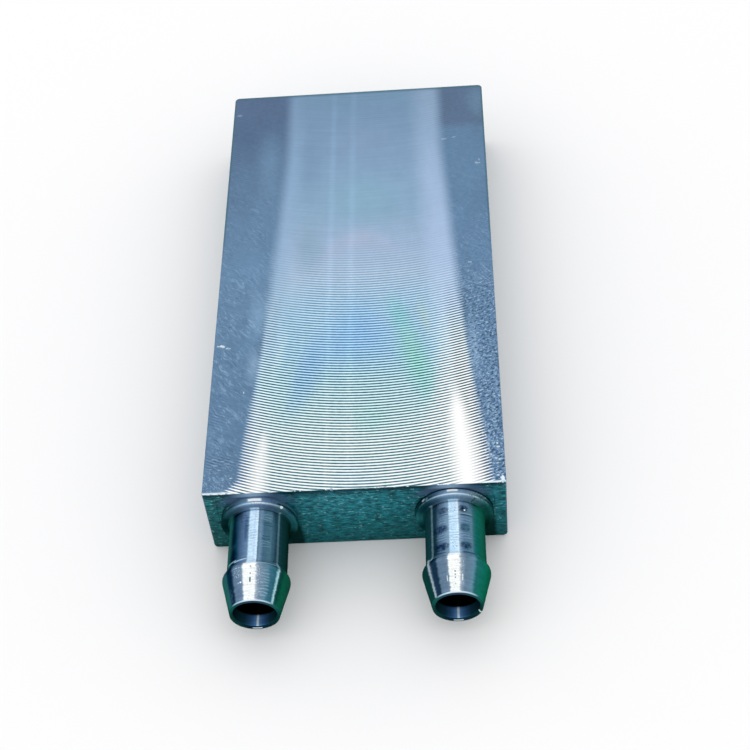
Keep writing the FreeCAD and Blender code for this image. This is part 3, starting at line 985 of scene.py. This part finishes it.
inletLook = {
    # painted reflections by angle, on the shank and on the cone
    "shank": (
        (-180, 14, 60, 55), (-100, 15, 70, 65), (-76, 25, 84, 80), (-62, 35, 92, 90), (-54, 25, 74, 78),
        (-49, 8, 46, 56), (-43, 12, 42, 60), (-36, 40, 68, 94), (-22, 84, 114, 150), (-12, 108, 140, 174),
        (-10.5, 194, 225, 248), (-3, 198, 226, 250), (0, 184, 210, 238), (5.5, 206, 232, 249),
        (7, 92, 122, 146), (12, 108, 138, 164), (18, 66, 102, 126), (32, 72, 110, 128), (37, 56, 92, 112),
        (45, 64, 102, 118), (48.5, 136, 176, 190), (52, 40, 82, 94), (60, 17, 60, 62), (74, 12, 52, 50),
        (90, 5, 32, 30), (180, 14, 60, 55),
    ),
    "cone": (
        (-180, 14, 60, 55), (-100, 16, 76, 66), (-78, 26, 92, 86), (-56, 42, 94, 98), (-52, 22, 58, 74),
        (-46, 18, 42, 64), (-40, 26, 52, 78), (-36, 94, 120, 146), (-20, 108, 134, 164),
        (-17.5, 150, 172, 190), (-16, 246, 252, 253), (5.5, 246, 252, 252), (7, 190, 202, 214),
        (10, 136, 156, 176), (18, 112, 140, 162), (28, 86, 127, 149), (33, 58, 108, 130), (44, 40, 96, 110),
        (47, 150, 196, 210), (49.5, 178, 220, 230), (51.5, 40, 92, 96), (56, 10, 72, 62), (66, 14, 88, 68),
        (90, 20, 78, 64), (180, 14, 60, 55),
    ),
    # the flange: its painted reflections, those of the painted highlight line on it and its place out, and
    # the painted white highlight patch by angle and place out
    "rim": (
        (-180, 8, 40, 36), (-118, 26, 88, 88), (-100, 8, 48, 50), (-90, 4, 36, 40), (-80, 8, 48, 50),
        (-70, 8, 44, 48), (-60, 30, 72, 80), (-44, 46, 84, 98), (-28, 74, 108, 134), (-12, 112, 146, 178),
        (8, 110, 140, 174), (24, 84, 112, 142), (42, 66, 104, 120), (56, 50, 104, 118), (70, 44, 104, 116),
        (84, 34, 98, 104), (98, 34, 94, 98), (112, 10, 50, 46), (125, 5, 40, 30), (180, 8, 40, 36),
    ),
    "line": (
        (-180, 8, 40, 36), (-120, 22, 70, 70), (-108, 8, 52, 54), (-98, 1, 28, 32), (-84, 1, 32, 36),
        (-70, 8, 44, 48), (-60, 18, 58, 64), (-50, 40, 80, 90), (-40, 44, 82, 96), (-30, 100, 132, 152),
        (-12, 178, 206, 226), (0, 236, 248, 250), (12, 216, 232, 242), (24, 160, 186, 204),
        (46, 84, 120, 136), (56, 6, 46, 54), (68, 4, 40, 46), (84, 8, 46, 50), (98, 2, 38, 40),
        (112, 6, 40, 36), (180, 8, 40, 36),
    ),
    "lineOut": 0.88,
    "patch": (-11, 9, 0.2, 0.62),
    # painted contact shadow at the flange's back edge: how dark
    "outline": 0.12,                    # how dark the flange's back edge is drawn
    # painted glints and painted shade on the flange: pattern, angles, places out, swatch, share
    "flangeMarks": (
        ("plain", -108, -32, 0.45, 0.72, (10, 42, 52), 0.7),
        ("plain", 30, 112, 0.45, 0.78, (4, 34, 40), 0.85),
        ("plain", 39, 44, 0.7, 1.0, (222, 238, 242), 0.9),
        ("specks", -8, 30, 0.6, 1.05, (90, 120, 150), 0.6),
        ("plain", -52, -46, 0.2, 0.45, (96, 134, 146), 0.7),
        ("specks", 44, 74, 0.3, 1.0, (8, 46, 50), 0.9),
    ),
    # marks, stains with painted highlights and painted glints: pattern, angles, places out, swatch, share
    "marks": (
        ("smears", -21, -13, 1.8, 6.3, (44, 72, 112), 0.8),
        ("rows", 14, 34, 1.6, 3.0, (128, 158, 178), 0.5),
        ("rows", 16, 36, 3.1, 3.8, (34, 70, 90), 0.9),
        ("rows", 14, 32, 5.0, 5.9, (38, 76, 98), 0.8),
        ("rows", 12, 34, 5.9, 7.2, (112, 148, 168), 0.5),
        ("rows", -9, 5, 4.2, 6.0, (150, 178, 206), 0.6),
        ("rows", -46, -12, 1.6, 4.2, (44, 74, 104), 0.6),
        ("rows", -58, -38, 5.8, 6.6, (70, 106, 130), 0.6),
        ("rows", -58, -30, 7.2, 8.4, (8, 40, 58), 0.8),
        ("plain", -64, -34, 8.46, 8.68, (150, 186, 204), 0.75),
        ("plain", -42, -10, 8.66, 8.88, (172, 202, 226), 0.85),
        ("plain", -14, 47, 9.6, 9.78, (164, 194, 210), 0.5),
        ("specks", -35, -19, 9.9, 11.6, (190, 212, 228), 0.8),
        ("plain", -24, -20, 12.15, 12.35, (238, 247, 251), 0.9),
        ("plain", -28, -26, 12.2, 12.35, (200, 220, 234), 0.8),
        ("smears", -38, -20, 12.6, 14.5, (84, 110, 138), 0.4),
        ("plain", -3.5, -1, 10.2, 10.5, (112, 134, 144), 0.7),
        ("plain", -4, -1.5, 11.15, 11.4, (104, 132, 144), 0.8),
        ("plain", -5, -1.5, 11.75, 12.45, (78, 108, 124), 0.95),
        ("rows", 14, 34, 10.6, 14.5, (160, 188, 204), 0.4),
        ("specks", 6, 14, 10.0, 14.6, (226, 236, 242), 0.6),
        ("specks", -54, -42, 10.2, 14.4, (4, 26, 44), 0.9),
        ("specks", -54, -44, 12.6, 14.4, (112, 142, 162), 0.5),
    ),
}

outletLook = {
    # painted reflections by angle, on the shank and on the cone
    "shank": (
        (-180, 14, 60, 55), (-100, 10, 55, 58), (-62, 18, 62, 68), (-52, 34, 76, 86), (-48.5, 146, 186, 200),
        (-46.5, 138, 178, 192), (-44, 50, 84, 102), (-36, 58, 90, 112), (-24, 86, 116, 144),
        (-11, 130, 162, 188), (-9.5, 192, 224, 248), (4, 195, 225, 248), (7, 220, 238, 250),
        (8.5, 150, 178, 200), (12, 112, 140, 168), (18, 84, 116, 144), (34, 86, 124, 144),
        (38, 56, 106, 114), (42, 32, 102, 98), (56, 22, 98, 84), (72, 12, 82, 68), (100, 14, 66, 56),
        (180, 14, 60, 55),
    ),
    "cone": (
        (-180, 14, 60, 55), (-110, 16, 66, 58), (-75, 14, 64, 58), (-60, 12, 58, 58), (-57, 44, 84, 92),
        (-54.5, 196, 216, 232), (-51.5, 206, 224, 240), (-49.5, 88, 116, 138), (-46, 28, 56, 80),
        (-36, 24, 50, 74), (-32, 96, 122, 146), (-18, 102, 126, 152), (-13.5, 130, 152, 172),
        (-12.5, 244, 251, 250), (6, 248, 252, 252), (8, 178, 188, 196), (11, 130, 152, 174),
        (18, 98, 124, 146), (32, 98, 136, 158), (36, 72, 124, 138), (39, 34, 103, 104),
        (56, 18, 104, 88), (74, 10, 92, 70), (180, 14, 60, 55),
    ),
    "rim": (
        (-180, 8, 40, 36), (-125, 18, 70, 70), (-112, 6, 56, 58), (-100, 26, 84, 88), (-88, 44, 116, 120),
        (-70, 16, 68, 74), (-58, 10, 52, 60), (-44, 24, 62, 80), (-28, 68, 102, 130), (-12, 118, 150, 180),
        (8, 122, 154, 182), (24, 108, 138, 162), (38, 84, 120, 134), (52, 48, 100, 104), (66, 18, 78, 76),
        (84, 22, 78, 74), (98, 12, 60, 54), (112, 5, 42, 34), (180, 8, 40, 36),
    ),
    "line": (
        (-180, 8, 40, 36), (-100, 16, 70, 76), (-82, 12, 66, 72), (-72, 8, 52, 58), (-60, 52, 104, 110),
        (-48, 96, 138, 150), (-38, 116, 152, 168), (-30, 156, 186, 204), (-14, 196, 220, 236),
        (0, 226, 242, 248), (16, 190, 212, 226), (34, 180, 206, 214), (44, 110, 144, 154),
        (54, 96, 140, 146), (66, 30, 82, 80), (84, 14, 66, 62), (180, 8, 40, 36),
    ),
    "lineOut": 0.82,
    "patch": (-9, 7, 0.08, 0.42),
    # painted contact shadow at the flange's back edge: how dark
    "outline": 0.9,
    # painted glints and painted shade on the flange: pattern, angles, places out, swatch, share
    "flangeMarks": (
        ("plain", -104, -34, 0.4, 0.68, (8, 42, 52), 0.7),
        ("plain", 36, 94, 0.4, 0.68, (10, 44, 54), 0.6),
        ("plain", -54, -47, 0.2, 0.55, (190, 214, 222), 0.9),
        ("plain", -46, -41, 0.3, 0.7, (150, 182, 194), 0.6),
        ("specks", 22, 60, 0.1, 0.6, (186, 210, 216), 0.8),
        ("specks", 20, 70, 0.6, 1.05, (16, 44, 56), 0.8),
        ("specks", -60, -30, 0.3, 1.05, (20, 56, 66), 0.8),
    ),
    "lipNick": 112,                     # angle of a bright nick in the lip
    # stains with painted highlights and painted glints, as on the inlet
    "marks": (
        ("smears", -34, -10, 1.9, 3.0, (24, 46, 78), 0.9),
        ("specks", -8, 4, 2.0, 2.95, (100, 132, 172), 0.85),
        ("smears", 8, 28, 1.7, 2.9, (8, 34, 52), 1.0),
        ("plain", 19, 22, 2.42, 2.62, (240, 250, 252), 1.0),
        ("plain", 9, 36, 3.0, 3.12, (150, 182, 196), 0.6),
        ("plain", 10, 38, 3.2, 3.34, (18, 46, 62), 0.85),
        ("rows", -30, -10, 3.1, 3.36, (30, 60, 84), 0.8),
        ("rows", -36, 36, 3.5, 4.6, (128, 158, 184), 0.5),
        ("smears", -44, -11, 4.7, 6.0, (16, 42, 78), 1.0),
        ("specks", -8, 4, 4.7, 5.9, (136, 166, 206), 0.75),
        ("smears", 9, 31, 4.6, 5.9, (24, 72, 90), 0.9),
        ("rows", -38, 34, 6.0, 7.4, (136, 164, 192), 0.5),
        ("smears", -43, -10, 7.4, 8.75, (10, 36, 72), 1.0),
        ("specks", -8, 4, 7.5, 8.7, (108, 142, 188), 0.85),
        ("smears", 9, 34, 7.4, 8.75, (16, 54, 80), 1.0),
        ("plain", -50, -16, 8.95, 9.2, (24, 50, 78), 0.6),
        ("plain", 14, 40, 8.95, 9.3, (28, 66, 96), 0.8),
        ("plain", -74, -62, 8.75, 8.95, (176, 204, 212), 0.8),
        ("plain", -66, -56, 8.98, 9.2, (176, 204, 212), 0.8),
        ("plain", -60, -53, 9.2, 9.7, (176, 204, 212), 0.8),
        ("plain", -13.5, 9, 9.5, 9.8, (244, 250, 252), 1.0),
        ("plain", -3, -0.5, 11.95, 12.2, (70, 104, 112), 0.9),
        ("plain", -3, -0.5, 12.4, 12.6, (70, 104, 112), 0.9),
        ("plain", -3, -0.5, 12.8, 13.0, (90, 120, 128), 0.8),
        ("plain", -3, -0.5, 13.6, 13.8, (160, 182, 190), 0.7),
        ("plain", -18.5, -16.5, 12.5, 13.3, (220, 234, 242), 0.85),
        ("plain", 11, 13.5, 12.4, 13.3, (220, 234, 242), 0.85),
        ("specks", 9, 15, 10.2, 14.2, (196, 212, 224), 0.5),
        ("specks", -48, -38, 10.0, 14.5, (8, 30, 52), 0.6),
    ),
}


def paintMarks(shade, angle, out, marks):
    # each mark is a stain, a painted highlight, a painted glint or painted shade, long or round with a
    # ragged border, either whole or broken up
    form = turnedFinish
    smears, specks, wander, ragged = (grain((angle, out), **form["grains"][name])
                                      for name in ("smears", "specks", "wander", "ragged"))
    stray, every = form["rowsEvery"]
    rows = calc("SINE", scaled(wander, stray, times(out, every)))
    patterns = {
        "plain": 1.0,
        "smears": softStep(smears, *form["smearsLeave"]),
        "specks": softStep(specks, *form["specksLeave"]),
        "rows": softStep(times(rows, specks), *form["rowsLeave"]),
    }
    ragged = vary(ragged, form["markRagged"], 0.0)
    for pattern, start, end, near, far, swatch, share in marks:
        apart = []
        for value, low, high in ((angle, start, end), (out, near, far)):
            part = scaled(value, 2 / (high - low), -(high + low) / (high - low))
            apart.append(calc("POWER", absolute(part), 3))
        border = form["markBorder"].get(pattern, form["markBorder"]["others"])
        here = times(softStep(plus(plus(*apart), ragged), *border), patterns[pattern], share)
        shade = mixColour(here, shade, paint(*swatch))
    return shade


def paintFlange(look, angle, fromTop, out, reach, strayed, flecks):
    # its face and rim in painted reflections, a painted highlight line, a painted white highlight patch on
    # top and painted contact shadow at its back edge
    form = turnedFinish
    shade = shadesAlong(angle, look["rim"])
    shade = scaleColour(shade, fromTo(softStep(reach, *form["flangeRim"]), *form["flangeLight"]))
    shade = mixColour(partly(reach, *form["flangeRoot"]), shade, shadesAlong(strayed, look["shank"]))
    shade = scaleColour(shade, vary(flecks, form["fleckSwing"]))
    gaps = fromTo(softStep(flecks, *form["lineGaps"]), -form["lineBroken"], 0.0)
    whole = scaled(softStep(fromTop, *form["lineBreaks"]), gaps, form["lineWhole"])
    line = times(hump(out, look["lineOut"], form["lineWidth"]), softStep(reach, *form["lineFrom"]), whole)
    shade = mixColour(line, shade, shadesAlong(angle, look["line"]))
    start, end, near, far = look["patch"]
    softAngle, softOut = form["patchSoft"]
    worn = plus(angle, vary(flecks, form["patchWavers"], 0.0))
    patch = times(band(worn, start, end, softAngle), band(out, near, far, softOut),
                  softStep(reach, *form["patchFrom"]))
    shade = paintMarks(shade, angle, out, look["flangeMarks"])
    shade = mixColour(patch, shade, form["patchShade"])
    outline = larger(look["outline"], softStep(fromTop, *form["outlineBelow"]))
    shade = mixColour(times(softStep(out, *form["outlineOut"]), outline), shade, form["outlineShade"])
    return shade, patch


def makeTurnedFinish(name, node, look):
    form = turnedFinish
    material, shader = startFinish(name)
    x, y, z = placeInMillimetres()
    side, up, reach = aboutAxis(node, x, z)
    angle = calc("DEGREES", calc("ARCTAN2", side, up))
    fromTop = absolute(angle)
    out = minus(blockLow.y / mm, y)
    uneven, lathe, blotches, flecks = (grain((angle, out), **form["grains"][kind])
                                       for kind in ("uneven", "lathe", "blotches", "flecks"))

    # painted reflections on the shank and the cone, with borders that stray
    onCone = softStep(out, *form["coneOut"])
    strayed = scaled(minus(uneven, 0.5), fromTo(onCone, *form["stray"]), angle)
    shade = mixColour(onCone, shadesAlong(strayed, look["shank"]), shadesAlong(strayed, look["cone"]))
    shade = paintMarks(shade, angle, out, look["marks"])
    swing = times(vary(lathe, form["latheSwing"]), vary(blotches, form["blotchSwing"]))
    shade = scaleColour(shade, swing)

    # lip round the mouth: a painted highlight line at the end of the cone, then the dark ring of painted
    # reflection with a painted glint at its bottom
    ends = scaled(uneven, form["ringWavers"], out)
    shade = mixColour(softStep(ends, *form["lipOut"]), shade, shadesAlong(fromTop, form["lip"]))
    inMouth = softStep(reach, *form["mouthWall"])
    onRing = larger(softStep(ends, *form["ringOut"]), times(inMouth, softStep(out, *form["mouthOut"])))
    ring = scaleColour(shadesAlong(fromTop, form["ring"]), vary(uneven, form["ringSwing"]))
    spread, middle, width, swatch = form["glint"]
    glint = times(softStep(fromTop, 180 - spread, 182 - spread), hump(reach, middle, width))
    shade = mixColour(onRing, shade, mixColour(glint, ring, swatch))

    onFlange = softStep(out, *form["flangeOut"])
    flange, patch = paintFlange(look, angle, fromTop, out, reach, strayed, flecks)
    shade = mixColour(onFlange, shade, flange)

    # bore: painted shade deep inside, and a painted highlight for the light that falls on its lower wall
    # near the mouth
    bore = shadesAlong(minus(180, fromTop), form["bore"])
    lit = fromTo(softStep(out, *form["boreFades"]), form["boreDeep"], 1.0)
    bore = scaleColour(bore, times(lit, vary(uneven, form["boreSwing"])))
    shade = mixColour(softStep(reach, *form["boreWall"]), shade, bore)
    if "lipNick" in look:
        nick = hump(angle, look["lipNick"], form["lipNickWidth"])
        nick = times(nick, softStep(out, *form["lipNickOut"]))
        shade = mixColour(nick, shade, form["lipNickShade"])

    # the flanks, the back of the barb, the mouth and the flange are duller than the top
    dull = softStep(fromTop, *form["dullFrom"])
    for more in (band(out, *form["dullBarb"]), onRing, inMouth, times(onFlange, form["dullFlange"])):
        dull = larger(dull, more)
    feed(shader.inputs["Metallic"], times(fromTo(dull, 1, form["flankMetal"]), minus(1.0, patch)))
    shader.inputs["Specular Tint"].default_value = form["flank"]
    shader.inputs["Specular IOR Level"].default_value = 0.0
    endFinish(shader, shade, vary(lathe, form["roughSwing"], form["roughness"]), lathe,
              form["reliefDepth"], form["reliefStrength"])
    return material


# Sawn ends, extruded sides and base, and the plugs

barFinish = {
    # the ends' teal shades by height are a painted reflection
    "ends": (
        (0, 14, 100, 106), (1.5, 19, 108, 116), (5, 26, 116, 127), (8, 40, 127, 141), (10.8, 46, 128, 142),
        (11.3, 34, 104, 118), (12, 28, 92, 106),
    ),
    # towards the right and the left side the painted reflection on the ends is darker: from where to where,
    # and the tint
    "rightTint": (-6, 6, (0.62, 0.84, 0.82, 1.0)),
    "leftTint": (-13.5, -17, (0.36, 0.58, 0.52, 1.0)),
    "streaks": (4.6, 6.8),              # how strong the brushing is low down and high up
    "streaksTurn": (1, 10),
    "streaksLeast": 0.35,
    "unevenSwing": 0.8,
    # light flecks, fewer low down and at the closed end
    "fleck": paint(140, 212, 214),
    "flecksLeave": (0.55, 0.66),
    "flecksRise": (-4, 9.5),
    "flecksClear": (0.42, 0.6),
    "flecksBehind": 0.45,
    "atMiddle": (5, -5),
    # the plug's seam: its height, half its width, its ends and its share, and the dark line under the edge
    "seam": (11.05, 0.12, 0.55),
    "seamEnds": (18.4, 18.0),
    "seamShade": paint(10, 56, 66),
    "underEdge": (11.5, 11.9, 0.08, 0.85),
    "underEdgeClear": (0.25, 0.45),
    "underEdgeShade": paint(10, 58, 72),
    # the sides by height, darker towards the bottom, with the teal of the ends' painted reflection
    "sides": ((0, 58, 92, 108), (3, 70, 104, 122), (9, 76, 112, 130), (12, 84, 120, 140)),
    "sidesFrom": (19.8, 19.95),
    "sideSwing": 0.5,
    "base": paint(84, 112, 130),
    "baseBelow": (0.2, 0.1),
    "baseWithin": (39.97, 39.9),
    "baseSwing": 0.6,
    # round each flange, a painted reflection above, a painted highlight over it, painted shadow below and at
    # its edge: how the borders waver, then where each shade starts and is full
    "wavers": 0.3,
    "aboveReach": (7.3, 5.7),
    "aboveFrom": (2.8, 4.6),
    "aboveShade": paint(66, 92, 120),
    # the painted highlight over the flange
    "litPlace": (-0.6, 3.4),            # the lighter place over the flange: middle and reach
    "litFrom": (5.0, 5.5, 0.75),
    "litShade": paint(150, 182, 208),
    "belowReach": (5.6, 4.9),
    "belowLeans": 0.06,
    "belowFrom": (1.0, 4.0),
    "belowUnder": (0.4, -2.2, 0.95),
    "belowShade": paint(6, 36, 34),
    "edgeReach": (5.36, 5.22),
    "edgeUnder": (-0.5, -2.5),
    "edgeShade": paint(8, 28, 40),
    "portMetal": 0.15,                  # how mirror-like the end face stays there
    "reliefDepth": 0.02,
    "reliefStrength": 0.5,
    "roughSwing": 0.2,
    "grains": {
        "brushed": dict(scales=(0.9, 1.0, 3.4), detail=4, roughness=0.66),
        "uneven": dict(scales=(0.8, 0.8, 1.1), detail=3),
        "flecks": dict(scales=(1.5, 1.0, 3.8), detail=3, roughness=0.6, distortion=0.4, start=6.0),
        "drawn": dict(scales=(2.2, 0.05, 2.6), detail=5, roughness=0.6, start=1.0),
    },
    # each piece of the bar: node, whether the nozzles leave it, roughness
    "pieces": {
        "extrudedBar": ("channel_body", True, 0.42),
        "portedPlug": ("front_plug", True, 0.40),
        "plainPlug": ("rear_plug", False, 0.38),
    },
}


def paintRoundPorts(shade, x, z, uneven):
    # the end face close to the flanges: a paler, duller painted reflection and a painted highlight above
    # them, painted shadow below them and at their edge
    look = barFinish
    dull = 0.0
    for node, nozzleLook in (("inlet_nozzle", inletLook), ("outlet_nozzle", outletLook)):
        side, up, reach = aboutAxis(node, x, z)
        reach = scaled(uneven, look["wavers"], minus(reach, look["wavers"] / 2))
        above = times(softStep(reach, *look["aboveReach"]), softStep(up, *look["aboveFrom"]))
        shade = mixColour(above, shade, look["aboveShade"])
        lit = times(hump(side, *look["litPlace"]), partly(up, *look["litFrom"]))
        shade = mixColour(lit, shade, look["litShade"])
        below = times(softStep(scaled(up, look["belowLeans"], side), *look["belowReach"]),
                      softStep(side, *look["belowFrom"]), partly(up, *look["belowUnder"]))
        shade = mixColour(below, shade, look["belowShade"])
        dull = larger(larger(dull, above), below)
        edge = larger(softStep(up, *look["edgeUnder"]), nozzleLook["outline"])
        shade = mixColour(times(softStep(reach, *look["edgeReach"]), edge), shade, look["edgeShade"])
    return shade, dull


def makeBarFinish(name, withPorts, roughness):
    look = barFinish
    material, shader = startFinish(name)
    shader.inputs["Specular IOR Level"].default_value = 0.0
    x, y, z = placeInMillimetres()
    brushed, uneven, flecks, drawn = (grain((x, y, z), **look["grains"][kind])
                                      for kind in ("brushed", "uneven", "flecks", "drawn"))
    # the ends' teal painted reflection, darker towards the sides
    shade = shadesAlong(z, look["ends"])
    for start, full, tint in (look["rightTint"], look["leftTint"]):
        shade = mixColour(softStep(x, start, full), shade, mixColour(1.0, shade, tint, "MULTIPLY"))
    strong = fromTo(softStep(z, *look["streaksTurn"]), *look["streaks"])
    streaked = larger(scaled(minus(brushed, 0.5), strong, 1.0), look["streaksLeast"])
    shade = scaleColour(shade, times(streaked, vary(uneven, look["unevenSwing"])))
    crowded = times(softStep(z, *look["flecksRise"]), softStep(uneven, *look["flecksClear"]),
                    fromTo(softStep(y, *look["atMiddle"]), look["flecksBehind"], 1.0))
    shade = mixColour(times(softStep(flecks, *look["flecksLeave"]), crowded), shade, look["fleck"])
    height, width, share = look["seam"]
    seam = times(hump(z, height, width), softStep(absolute(x), *look["seamEnds"]), share)
    shade = mixColour(seam, shade, look["seamShade"])
    *reach, share = look["underEdge"]
    underEdge = times(band(z, *reach), softStep(uneven, *look["underEdgeClear"]), share)
    shade = mixColour(underEdge, shade, look["underEdgeShade"])
    # painted reflection, highlight and shadows round the flanges
    if withPorts:
        ported, dull = paintRoundPorts(shade, x, z, uneven)
        atPorts = softStep(y, 0, -1)
        shade = mixColour(atPorts, shade, ported)
        feed(shader.inputs["Metallic"], fromTo(times(dull, atPorts), 1.0, look["portMetal"]))

    # extruded sides with drawn lines along them, and the base
    sides = scaleColour(shadesAlong(z, look["sides"]), vary(drawn, look["sideSwing"]))
    shade = mixColour(softStep(absolute(x), *look["sidesFrom"]), shade, sides)
    onBase = times(softStep(z, *look["baseBelow"]), softStep(absolute(y), *look["baseWithin"]))
    shade = mixColour(onBase, shade, scaleColour(look["base"], vary(drawn, look["baseSwing"])))
    endFinish(shader, shade, vary(brushed, look["roughSwing"], roughness), plus(brushed, drawn),
              look["reliefDepth"], look["reliefStrength"])
    return material


sealFinish = {
    "shade": paint(30, 31, 33),
    "swing": 0.8,
    "roughness": 0.6,
    "roughSwing": 0.3,
    "reliefDepth": 0.05,
    "reliefStrength": 0.5,
    "grain": dict(scales=(1.5, 1.5, 1.5), detail=4),
}


def makeSealFinish():
    look = sealFinish
    material, shader = startFinish("curedSealant", metallic=0.0)
    uneven = grain(placeInMillimetres(), **look["grain"])
    shade = scaleColour(look["shade"], vary(uneven, look["swing"]))
    endFinish(shader, shade, vary(uneven, look["roughSwing"], look["roughness"]), uneven,
              look["reliefDepth"], look["reliefStrength"])
    return material


# Burr: thin slivers that the cutter has left along the near edge of the face

burr = {
    "seed": 7,
    "slivers": 16,
    "height": (0.02, 0.05),
    "length": (0.2, 0.7),
    # the larger ones: place across, length, height
    "larger": ((-2.9, 0.5, 0.26), (-3.5, 0.4, 0.12), (10.97, 0.6, 0.2), (19.55, 0.5, 0.3),
               (18.9, 0.4, 0.16), (-16.8, 1.6, 0.1), (-18.6, 1.6, 0.08), (4.2, 0.4, 0.12),
               (-7.8, 0.5, 0.1)),
    "within": 19.7,          # the small ones lie at most this far from the middle
    "inward": 0.08,          # from the edge to the middle of a sliver
    "width": 0.14,
    "out": 0.05,
    "stray": 0.02,
    "taper": 1.9,
    "smoothBelow": 40,       # degrees between faces
    "shades": (paint(120, 156, 184), paint(240, 247, 250)),
    "grain": dict(scales=(2.0, 2.0, 2.0), detail=3),
    "roughness": 0.35,
}


def makeSliver(across, length, height, dice):
    # a low wedge on the edge, its crest pulled aside
    deselectAll()
    place = (across * mm, blockLow.y + burr["inward"] * mm, topZ)
    size = (length * mm, burr["width"] * mm, height * 2 * mm)
    bpy.ops.mesh.primitive_cube_add(size=1.0, location=place, scale=size)
    sliver = newPiece("sliver")
    enterEdit(sliver)
    bpy.ops.mesh.select_all(action="SELECT")
    bpy.ops.mesh.subdivide(number_cuts=2)
    bpy.ops.object.mode_set(mode="OBJECT")
    for vertex in sliver.data.vertices:
        along = (vertex.co.x - across * mm) / (length * mm)
        if vertex.co.z > topZ:
            taper = max(0.0, 1 - burr["taper"] * abs(along))
            vertex.co.z = topZ + (vertex.co.z - topZ) * taper * dice.uniform(0.6, 1.0)
            vertex.co.y -= burr["out"] * mm * taper * dice.uniform(0.0, 1.0)
        vertex.co.y += dice.uniform(-burr["stray"], burr["stray"]) * mm
    return sliver


def makeBurr():
    dice = random.Random(burr["seed"])
    places = list(burr["larger"])
    for count in range(burr["slivers"]):
        across = dice.uniform(-burr["within"], burr["within"])
        places.append((across, dice.uniform(*burr["length"]), dice.uniform(*burr["height"])))
    slivers = [makeSliver(*place, dice) for place in places]
    deselectAll()
    for sliver in slivers:
        sliver.select_set(True)
    bpy.context.view_layer.objects.active = slivers[0]
    bpy.ops.object.join()
    piece = newPiece("edgeBurr")
    shadeByAngle(piece, burr["smoothBelow"])
    material, shader = startFinish("burrAluminium")
    uneven = grain(placeInMillimetres(), **burr["grain"])
    endFinish(shader, mixColour(softStep(uneven, 0.35, 0.6), *burr["shades"]), burr["roughness"])
    dress(piece, material)
    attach(piece, "root")
    print("burr:", len(piece.data.polygons), "faces")


makeCamera()
makeStudio()
print("camera and studio are set")

makeFlyCutFace()
makeBurr()
inlet = makeNozzle("turnedInletNozzle", "inlet_nozzle")
outlet = makeNozzle("turnedOutletNozzle", "outlet_nozzle")
dress(inlet, makeTurnedFinish("turnedInlet", "inlet_nozzle", inletLook))
dress(outlet, makeTurnedFinish("turnedOutlet", "outlet_nozzle", outletLook))
print("nozzles are dressed")

for finishName, (node, withPorts, roughness) in barFinish["pieces"].items():
    dress(nodes[node], makeBarFinish(finishName, withPorts, roughness))
sealant = makeSealFinish()
for node in nodes:
    if "seal" in node:
        dress(nodes[node], sealant)
print("bar, plugs and seals are dressed")

bpy.context.scene.view_settings.view_transform = "Standard"
